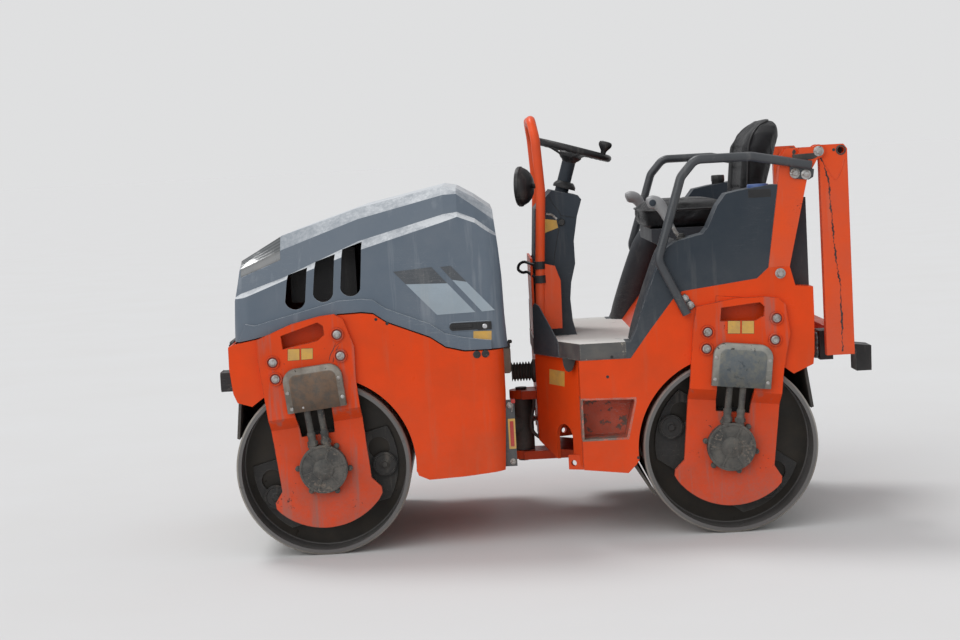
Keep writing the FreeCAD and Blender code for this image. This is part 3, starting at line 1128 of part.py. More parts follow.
def roll_over_frame():
    """Lower posts with their hinge ears, the folded upper frame and its work lamps."""
    posts = []
    for side_name, low in (("left", "post_inner"), ("right", "-post_outer")):
        wide = "post_outer - post_inner"
        body = plate("post_body_" + side_name, "XZ", low, "%s + %s" % (low, wide), [
            ("post_x", "shoulder"), ("-873", "post_seat"), ("-967", "post_seat"), ("-959", "1154"),
            ("-892", "shoulder")])
        ears = []
        for edge, start in (("a", low), ("b", "%s + %s - ear_plate" % (low, wide))):
            cheek = plate("post_cheek_%s_%s" % (side_name, edge), "XZ", start, "%s + ear_plate" % start, [
                ("-866", "1165"), ("-876", "1232"), ("-896", "1262"), ("fold_x + 16", "fold_z + 15"),
                ("fold_x + 2", "fold_z - 21"), ("-962", "1165")])
            eye = rod("post_eye_%s_%s" % (side_name, edge), "Y", "fold_x", start, "fold_z", "fold_pin + 11",
                      "ear_plate")
            hole = rod("lock_hole_%s_%s" % (side_name, edge), "Y", "2 * fold_x - lock_hole_x",
                       "%s - 5" % start, "fold_z", "fold_pin", "ear_plate + 10")
            ears.append(cut("post_ear_%s_%s" % (side_name, edge), fuse("post_fork_%s_%s" % (side_name, edge),
                                                                      cheek, eye), hole))
        pin = rod("fold_pin_" + side_name, "Y", "fold_x", low, "fold_z", "fold_pin", wide)
        posts.append(fuse("post_made_" + side_name, body, *ears, pin))
    node("rops_posts", group("rops_post_pair", *posts))
    arms, bores = [], []
    for side_name, low in (("left", "fold_inner"), ("right", "-fold_outer")):
        wide = "fold_outer - fold_inner"
        arms.append(plate("frame_arm_" + side_name, "XZ", low, "%s + %s" % (low, wide), [
            ("fold_front_x", "fold_foot"), ("fold_front_x", "1216"), ("fold_x + 14", "fold_z + 8"),
            ("fold_x + 4", "fold_head"), ("-1085", "fold_head"), ("fold_rear_x", "1251"),
            ("fold_rear_x", "fold_foot")]))
        arms.append(rod("frame_eye_" + side_name, "Y", "fold_x", low, "fold_z", "fold_pin + fold_eye", wide))
        for which, x, radius in (("hinge", "fold_x", "fold_pin + bearing_gap"),
                                 ("lock", "lock_hole_x", "fold_pin")):
            bores.append(rod("frame_%s_%s" % (which, side_name), "Y", x, "%s - 5" % low, "fold_z", radius,
                             "%s + 10" % wide))
    arms.append(box("frame_bar", "fold_rear_x", "-fold_inner - 1", "fold_foot", "bar_front_x - fold_rear_x",
                    "2 * fold_inner + 2", "bar_tall"))
    node("rops_frame", cut("rops_frame_made", fuse("rops_frame_weld", *arms), *bores))
    lamps = []
    for side_name, y in (("left", "rear_lamp_y"), ("right", "-rear_lamp_y")):
        lamps.append(box("deck_lamp_" + side_name, "bar_front_x", "%s - 50" % y, "fold_foot - 30", "44",
                         "100", "98"))
        lamps.append(plate("rear_lamp_" + side_name, "XZ", "%s - 50" % y, "%s + 50" % y, [
            ("fold_rear_x", "fold_foot + 4"), ("fold_rear_x", "fold_foot + 20"), ("-1136", "fold_foot + 16"),
            ("rear_reach", "fold_foot + 10"), ("rear_reach + 2", "500"), ("-1130", "500"),
            ("-1130", "fold_foot")]))
    node("rops_lamps", group("rops_lamp_set", *lamps))


def steering_wheel():
    """Steering wheel: rim, three spokes, hub and the knob on its rim."""
    rim = doc.addObject("Part::Torus", "wheel_rim")
    rim.setExpression("Radius1", bound("wheel_radius"))
    rim.setExpression("Radius2", bound("wheel_grip"))
    parts = [settle(rim)]
    parts.append(rod("wheel_hub", "Z", "0", "0", "-hub_drop", "hub_cap", "hub_drop", local=True))
    for i in range(3):
        turn = math.radians(120 * i)
        spoke = doc.addObject("Part::Feature", "wheel_spoke%d" % i)
        reach = value("wheel_radius")
        start = V(20 * math.cos(turn), 20 * math.sin(turn), -value("spoke_drop"))
        end = V(reach * math.cos(turn), reach * math.sin(turn), 0)
        spoke.Shape = Part.makeCylinder(value("spoke_radius"), end.sub(start).Length, start, end.sub(start))
        parts.append(spoke)
    parts.append(rod("wheel_knob", "Z", "-wheel_radius * 0.8", "wheel_radius * 0.6", "0", "knob_radius",
                     "knob_tall", local=True))
    made = fuse("steering_wheel_made", *parts)
    node("steering_wheel", settle(place(made, "wheel_x", "0", "wheel_z", (0, 1, 0), "wheel_lean")))


def small_parts():
    """Engine block, lock bar, lamps and scrapers."""
    block = box("engine_block", "engine_rear_x", "-engine_half", "engine_foot", "engine_long",
                "2 * engine_half", "engine_tall")
    cooler = box("cooler_block", "engine_rear_x + engine_long - 1", "-cooler_half", "cooler_foot",
                 "cooler_front_x - engine_rear_x - engine_long + 1", "2 * cooler_half",
                 "engine_foot + engine_tall - cooler_foot")
    node("engine", fuse("engine_made", block, cooler))

    def wall_at(height):
        return "front_wall_x + (front_heel + 250 - %s) * 14 / 250" % height
    node("lock_bar", plate("lock_bar_plate", "XZ", "lock_y - lock_half", "lock_y + lock_half", [
        ("front_wall_x - lock_rise", "lock_low"), (wall_at("lock_low"), "lock_low"),
        (wall_at("lock_high"), "lock_high"), ("front_wall_x - lock_rise", "lock_high")]))
    lamps = []
    for side_name, y in (("left", "nose_lamp_y"), ("right", "-nose_lamp_y")):
        low, high = "nose_lamp_low + 15", "nose_lamp_low + nose_lamp_tall + 10"
        lamps.append(plate("nose_lamp_" + side_name, "XZ", "%s - nose_lamp_half" % y,
                           "%s + nose_lamp_half" % y, [
            ("nose_x - 9 + (%s - 554) * 9 / 84" % low, low), ("front_reach", low), ("front_reach", high),
            ("nose_x - 9 + (%s - 554) * 9 / 84" % high, high)]))
    node("nose_lamps", group("nose_lamp_pair", *lamps))
    lamp = rod("lamp_body", "X", "lamp_x - 18", "lamp_y", "lamp_z", "lamp_radius", "54")
    arm = box("lamp_arm", "-92", "lamp_y", "lamp_z - 12", "27", "hoop_half - lamp_y - hoop_radius", "24")
    node("work_lamp", fuse("work_lamp_made", lamp, arm))
    node("front_scraper", scraper("front_scraper", "half_wheelbase", 21.5, 9, [
        ("945", "nose_chin + 12 - run_gap"), ("936", "nose_chin + 9 - run_gap")]))
    node("rear_scrapers",
         group("rear_scraper_pair", scraper("rear_scraper_tail", "-half_wheelbase", 158, -10, [
        ("-939", "tail_chin + 17 - run_gap"), ("-930", "tail_chin + 13 - run_gap")]),
        scraper("rear_scraper_heel", "-half_wheelbase", -30.5, 8, [
            ("-352", "rear_floor - 1.5 - run_gap"), ("-359", "rear_floor + 7 - run_gap")])))


def scraper(name, hub_x, degrees, wall, seat):
    """Scraper blade from its seat under the body to an edge just clear of the drum at the given angle."""
    across, up = math.cos(math.radians(degrees)), math.sin(math.radians(degrees))
    reach = "(drum_radius + scraper_gap%s)"
    edge = [("%s + %s * %.4f" % (hub_x, reach % extra, across),
             "drum_usual + %s * %.4f" % (reach % extra, up))
            for extra in ("", " + %d" % abs(wall))]
    return plate(name + "_form", "XZ", "-scraper_half", "scraper_half", seat + edge)


def main():
    """Builds every sub-part, checks it and writes it to its own file."""
    fill_sheet()
    front_frame()
    rear_frame()
    drum_sides()
    drum("front_drum", "half_wheelbase", "front_carrier_lean")
    drum("rear_drum", "-half_wheelbase", "rear_carrier_lean")
    hood()
    steering_joint()
    steering_cylinder()
    deck_and_front()
    seat_and_sides()
    roll_over_frame()
    steering_wheel()
    small_parts()
    os.makedirs("parts", exist_ok=True)
    for thing in doc.Objects:
        if "Invalid" in thing.State or "Error" in thing.State:
            raise RuntimeError("%s failed: %s" % (thing.Label, thing.State))
    for name, thing in NODES:
        if thing.Shape.isNull() or not thing.Shape.isValid():
            raise RuntimeError("%s has no valid shape" % name)
        thing.Shape.exportStep("parts/%s.step" % name)
        print(name, len(thing.Shape.Solids), round(thing.Shape.Volume / 1e3))


main()
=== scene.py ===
import math
import bmesh
import bpy
import numpy as np
from mathutils import Matrix, Vector


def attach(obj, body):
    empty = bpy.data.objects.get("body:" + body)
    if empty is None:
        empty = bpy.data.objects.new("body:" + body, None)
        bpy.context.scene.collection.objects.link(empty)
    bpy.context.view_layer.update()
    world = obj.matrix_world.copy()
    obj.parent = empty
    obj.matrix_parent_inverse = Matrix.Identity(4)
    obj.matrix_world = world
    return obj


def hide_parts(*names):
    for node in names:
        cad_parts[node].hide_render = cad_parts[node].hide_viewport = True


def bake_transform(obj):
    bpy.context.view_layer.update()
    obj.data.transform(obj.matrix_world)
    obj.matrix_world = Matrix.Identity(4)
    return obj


# Lengths are in metres: X forward, Y to the machine's left, Z up from the ground

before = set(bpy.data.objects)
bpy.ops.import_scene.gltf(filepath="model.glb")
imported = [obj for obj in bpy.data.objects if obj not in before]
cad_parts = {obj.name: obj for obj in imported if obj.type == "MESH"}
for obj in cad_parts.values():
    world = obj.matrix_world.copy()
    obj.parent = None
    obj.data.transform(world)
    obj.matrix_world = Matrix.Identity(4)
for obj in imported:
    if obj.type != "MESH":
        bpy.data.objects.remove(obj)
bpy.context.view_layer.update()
scene = bpy.context.scene
axleZ = 0.290  # height of both drums' axles
print("frame loaded")


# Nodes: one line adds a node, sets it and links or fills its sockets

def fill(tree, socket, content):
    # a link from another node's socket, or else a plain value
    if isinstance(content, bpy.types.NodeSocket):
        tree.links.new(content, socket)
    else:
        socket.default_value = content


def addNode(tree, kind, sockets=None, **settings):
    made = tree.nodes.new("ShaderNode" + kind)
    for key, content in settings.items():
        setattr(made, key, content)
    for key, content in (sockets or {}).items():
        fill(tree, made.inputs[key], content)
    return made


def maths(tree, operation, first, second=0.0):
    return addNode(tree, "Math", {0: first, 1: second}, operation=operation).outputs[0]


def product(tree, *factors):
    made = factors[0]
    for factor in factors[1:]:
        made = maths(tree, "MULTIPLY", made, factor)
    return made


def ramp(tree, content, low, high, start=0.0, end=1.0):
    # value from low..high carried to start..end and held there
    return addNode(tree, "MapRange", {0: content, 1: low, 2: high, 3: start, 4: end}, clamp=True).outputs[0]


def noise(tree, vector, scale, detail=3.0, rough=0.55):
    return addNode(tree, "TexNoise", {"Vector": vector, "Scale": scale, "Detail": detail,
                                      "Roughness": rough}).outputs["Fac"]


def blendColor(tree, share, first, second):
    # the first color where the share is 0, the second where it is 1
    made = addNode(tree, "Mix", {0: share}, data_type="RGBA")
    for index, color in ((6, first), (7, second)):
        fill(tree, made.inputs[index], color if isinstance(color, bpy.types.NodeSocket) else (*color, 1.0))
    return made.outputs[2]


def edgeMask(tree, given):
    # 1 - dot(rounded normal, normal), broken up by noise
    rounded = addNode(tree, "Bevel", {"Radius": given["Width"]}, samples=4).outputs[0]
    plain = addNode(tree, "NewGeometry").outputs["Normal"]
    facing = addNode(tree, "VectorMath", {0: rounded, 1: plain}, operation="DOT_PRODUCT").outputs["Value"]
    edge = ramp(tree, maths(tree, "SUBTRACT", 1.0, facing), 0.02, 0.16)
    broken = ramp(tree, noise(tree, given["Vector"], given["Scale"], 5.0, 0.65), 0.42, 0.58)
    return product(tree, edge, broken, given["Amount"])


def chipsMask(tree, given):
    # fine noise over a coarse one, cut off sharply near its top
    fine = noise(tree, given["Vector"], given["Scale"], 4.0, 0.7)
    coarse = noise(tree, given["Vector"], product(tree, given["Scale"], 0.13), 2.0, 0.5)
    both = maths(tree, "ADD", product(tree, fine, 0.62), product(tree, coarse, 0.38))
    return ramp(tree, both, given["Level"], maths(tree, "ADD", given["Level"], 0.025))


def dustAndTopLightMask(tree, given):
    # height above the ground from High down to Low, and faces that look up, each broken up by noise; on faces that
    # look up this is dust, and on the hood and deck it is painted highlight of their lit tops
    height = addNode(tree, "SeparateXYZ", {0: given["Vector"]}).outputs["Z"]
    low = ramp(tree, height, given["High"], given["Low"])
    up = addNode(tree, "SeparateXYZ", {0: addNode(tree, "TexCoord").outputs["Normal"]}).outputs["Z"]
    lyingDustAndLight = product(tree, ramp(tree, up, 0.5, 0.95), given["Top"])
    cloud = ramp(tree, noise(tree, given["Vector"], 9.0, 5.0, 0.65), 0.3, 0.68, 0.25, 1.0)
    speck = ramp(tree, noise(tree, given["Vector"], 90.0, 3.0, 0.7), 0.35, 0.7, 0.55, 1.0)
    return product(tree, maths(tree, "MAXIMUM", low, lyingDustAndLight), cloud, speck)


def streaksMask(tree, given):
    # noise drawn out along Z, so that it runs down the sides
    drawn = addNode(tree, "Mapping", {"Vector": given["Vector"], "Scale": (1.0, 1.0, 0.09)}).outputs[0]
    field = noise(tree, drawn, given["Scale"], 4.0, 0.6)
    return ramp(tree, field, given["Level"], maths(tree, "ADD", given["Level"], 0.14))


def scratchesMask(tree, given):
    # long thin ridges of two noises stretched along different directions
    ridges = []
    for turn, stretch in ((0.35, (1.0, 1.0, 14.0)), (1.2, (1.3, 1.0, 18.0))):
        turned = addNode(tree, "Mapping", {"Vector": given["Vector"], "Rotation": (0.0, turn, 0.0),
                                           "Scale": stretch}).outputs[0]
        field = noise(tree, turned, given["Scale"], 2.0, 0.5)
        ridges.append(ramp(tree, maths(tree, "ABSOLUTE", maths(tree, "SUBTRACT", field, 0.5)), 0.0035, 0.0))
    where = ramp(tree, noise(tree, given["Vector"], 5.0, 2.0), given["Level"],
                 maths(tree, "ADD", given["Level"], 0.12))
    return product(tree, maths(tree, "MAXIMUM", *ridges), where)


def newGroup(name, mask, numbers):
    # node group with a vector and plain numbers going in and one mask coming out
    tree = bpy.data.node_groups.new(name, "ShaderNodeTree")
    tree.interface.new_socket("Vector", in_out="INPUT", socket_type="NodeSocketVector")
    for label, start in numbers.items():
        socket = tree.interface.new_socket(label, in_out="INPUT", socket_type="NodeSocketFloat")
        socket.default_value = start
    tree.interface.new_socket("Mask", in_out="OUTPUT", socket_type="NodeSocketFloat")
    made = mask(tree, tree.nodes.new("NodeGroupInput").outputs)
    tree.links.new(made, tree.nodes.new("NodeGroupOutput").inputs["Mask"])
    return tree


groups = {
    "edge": newGroup("edge wear", edgeMask, {"Width": 0.006, "Scale": 40.0, "Amount": 0.5}),
    "chips": newGroup("paint chips", chipsMask, {"Scale": 60.0, "Level": 0.68}),
    "dustAndTopLight": newGroup("road dust", dustAndTopLightMask, {"Low": 0.1, "High": 0.6, "Top": 0.3}),
    "streaks": newGroup("run marks", streaksMask, {"Scale": 26.0, "Level": 0.58}),
    "scratches": newGroup("scratches", scratchesMask, {"Scale": 8.0, "Level": 0.5})}


def useGroup(tree, key, where, **numbers):
    return addNode(tree, "Group", {"Vector": where, **numbers}, node_tree=groups[key]).outputs["Mask"]


def newFinish(name):
    # a material, its nodes, its shader's sockets and the Object coordinates
    material = bpy.data.materials.new(name)
    material.use_nodes = True
    tree = material.node_tree
    where = addNode(tree, "TexCoord").outputs["Object"]
    return material, tree, tree.nodes["Principled BSDF"].inputs, where


def setShader(tree, shader, contents):
    for label, content in contents.items():
        fill(tree, shader[label], content)


trayPlace = {"flangeY": 0.5436, "middleY": 0.5452}
drumPlace = {"middleX": 0.091, "halfBase": 0.675, "radius": 0.290}


def trayColor(tree, where, color, s):
    # |y| across the tray: the raised middle keeps its grime, the flange is rubbed bare
    side = maths(tree, "ABSOLUTE", addNode(tree, "SeparateXYZ", {0: where}).outputs["Y"])
    raised = ramp(tree, side, trayPlace["flangeY"], trayPlace["middleY"])
    mottle = ramp(tree, noise(tree, where, 34.0, 5.0, 0.7), 0.40, 0.62)
    face = blendColor(tree, mottle, s["middle"], s["middleTint"])
    return blendColor(tree, product(tree, raised, 0.85), color, face)


def drumColor(tree, where, color, s):
    # r from the nearer axle: sqrt((|x - middle| - half base)^2 + (z - axle)^2); painted shade with grime inside,
    # grey band, bare rim
    spot = addNode(tree, "SeparateXYZ", {0: where}).outputs
    fromMiddle = maths(tree, "ABSOLUTE", maths(tree, "SUBTRACT", spot["X"], drumPlace["middleX"]))
    ahead = maths(tree, "SUBTRACT", fromMiddle, drumPlace["halfBase"])
    above = maths(tree, "SUBTRACT", spot["Z"], axleZ)
    radius = maths(tree, "SQRT", maths(tree, "ADD", product(tree, ahead, ahead), product(tree, above, above)))
    rim = drumPlace["radius"]
    within = ramp(tree, radius, rim - 0.0065, rim - 0.0050, 1.0, 0.0)
    insideShadeAndGrime = blendColor(tree, ramp(tree, noise(tree, where, 18.0, 4.0), 0.4, 0.7), s["inside"], s["insideTint"])
    insideShadeAndGrime = blendColor(tree, ramp(tree, radius, rim - 0.022, rim - 0.0185), insideShadeAndGrime, s["band"])
    return blendColor(tree, product(tree, within, 0.94), color, insideShadeAndGrime)


plainFinish = {
    "color": (0.5, 0.5, 0.5), "tint": (0.45, 0.45, 0.45), "blotch": 6.0, "rough": 0.5, "roughSpread": 0.12,
    "metal": 0.0, "chip": (0.05, 0.04, 0.035), "chipScale": 60.0, "chipLevel": 0.72, "edgeWidth": 0.004,
    "edge": 0.4, "edgeColor": None, "dustAndTopLight": (0.33, 0.29, 0.24), "dustLow": 0.05, "dustHigh": 0.5,
    "dustAndTopLightShare": 0.6, "topDustAndLight": 0.25, "streak": 0.15, "streakLevel": 0.58, "scratch": 0.3,
    "scratchLevel": 0.52, "scratchColor": (0.5, 0.48, 0.45), "grain": 220.0, "bump": 0.0006, "coat": 0.0,
    "specular": 0.5, "inside": None, "middle": None}


def wornFinish(name, changes):
    # paint or plastic: two tones, run marks, scratches, chips and rubbed edges, and dust over all of them; on the
    # hood and deck the pale colour on upward faces is painted highlight of the lit tops
    s = dict(plainFinish, **changes)
    material, tree, shader, where = newFinish(name)
    cloud = noise(tree, where, s["blotch"], 4.0, 0.6)
    color = blendColor(tree, ramp(tree, cloud, 0.38, 0.66), s["color"], s["tint"])
    streaks = useGroup(tree, "streaks", where, Level=s["streakLevel"])
    color = blendColor(tree, product(tree, streaks, s["streak"]), color, s["dustAndTopLight"])
    marks = useGroup(tree, "scratches", where, Level=s["scratchLevel"])
    color = blendColor(tree, product(tree, marks, s["scratch"]), color, s["scratchColor"])
    chips = useGroup(tree, "chips", where, Scale=s["chipScale"], Level=s["chipLevel"])
    color = blendColor(tree, chips, color, s["chip"])
    edge = useGroup(tree, "edge", where, Width=s["edgeWidth"], Amount=s["edge"])
    color = blendColor(tree, edge, color, s["edgeColor"] or s["chip"])
    dustAndTopLight = useGroup(tree, "dustAndTopLight", where, Low=s["dustLow"], High=s["dustHigh"], Top=s["topDustAndLight"])
    share = product(tree, dustAndTopLight, s["dustAndTopLightShare"])
    color = blendColor(tree, share, color, s["dustAndTopLight"])
    if s["middle"]:
        color = trayColor(tree, where, color, s)
    if s["inside"]:
        color = drumColor(tree, where, color, s)
    rough = ramp(tree, cloud, 0.3, 0.7, s["rough"] - s["roughSpread"], s["rough"] + s["roughSpread"])
    rough = maths(tree, "ADD", rough, product(tree, share, 0.4))
    rough = maths(tree, "MINIMUM", maths(tree, "ADD", rough, product(tree, chips, 0.25)), 1.0)
    grain = product(tree, noise(tree, where, s["grain"], 3.0, 0.6), 0.6)
    height = maths(tree, "SUBTRACT", grain, product(tree, chips, 0.6))
    bump = addNode(tree, "Bump", {"Height": height, "Distance": s["bump"], "Strength": 0.7})
    setShader(tree, shader, {"Base Color": color, "Roughness": rough, "Normal": bump.outputs[0],
                             "Coat Weight": s["coat"], "Specular IOR Level": s["specular"]})
    if s["metal"]:
        fill(tree, shader["Metallic"], product(tree, maths(tree, "SUBTRACT", 1.0, share), s["metal"]))
    return material


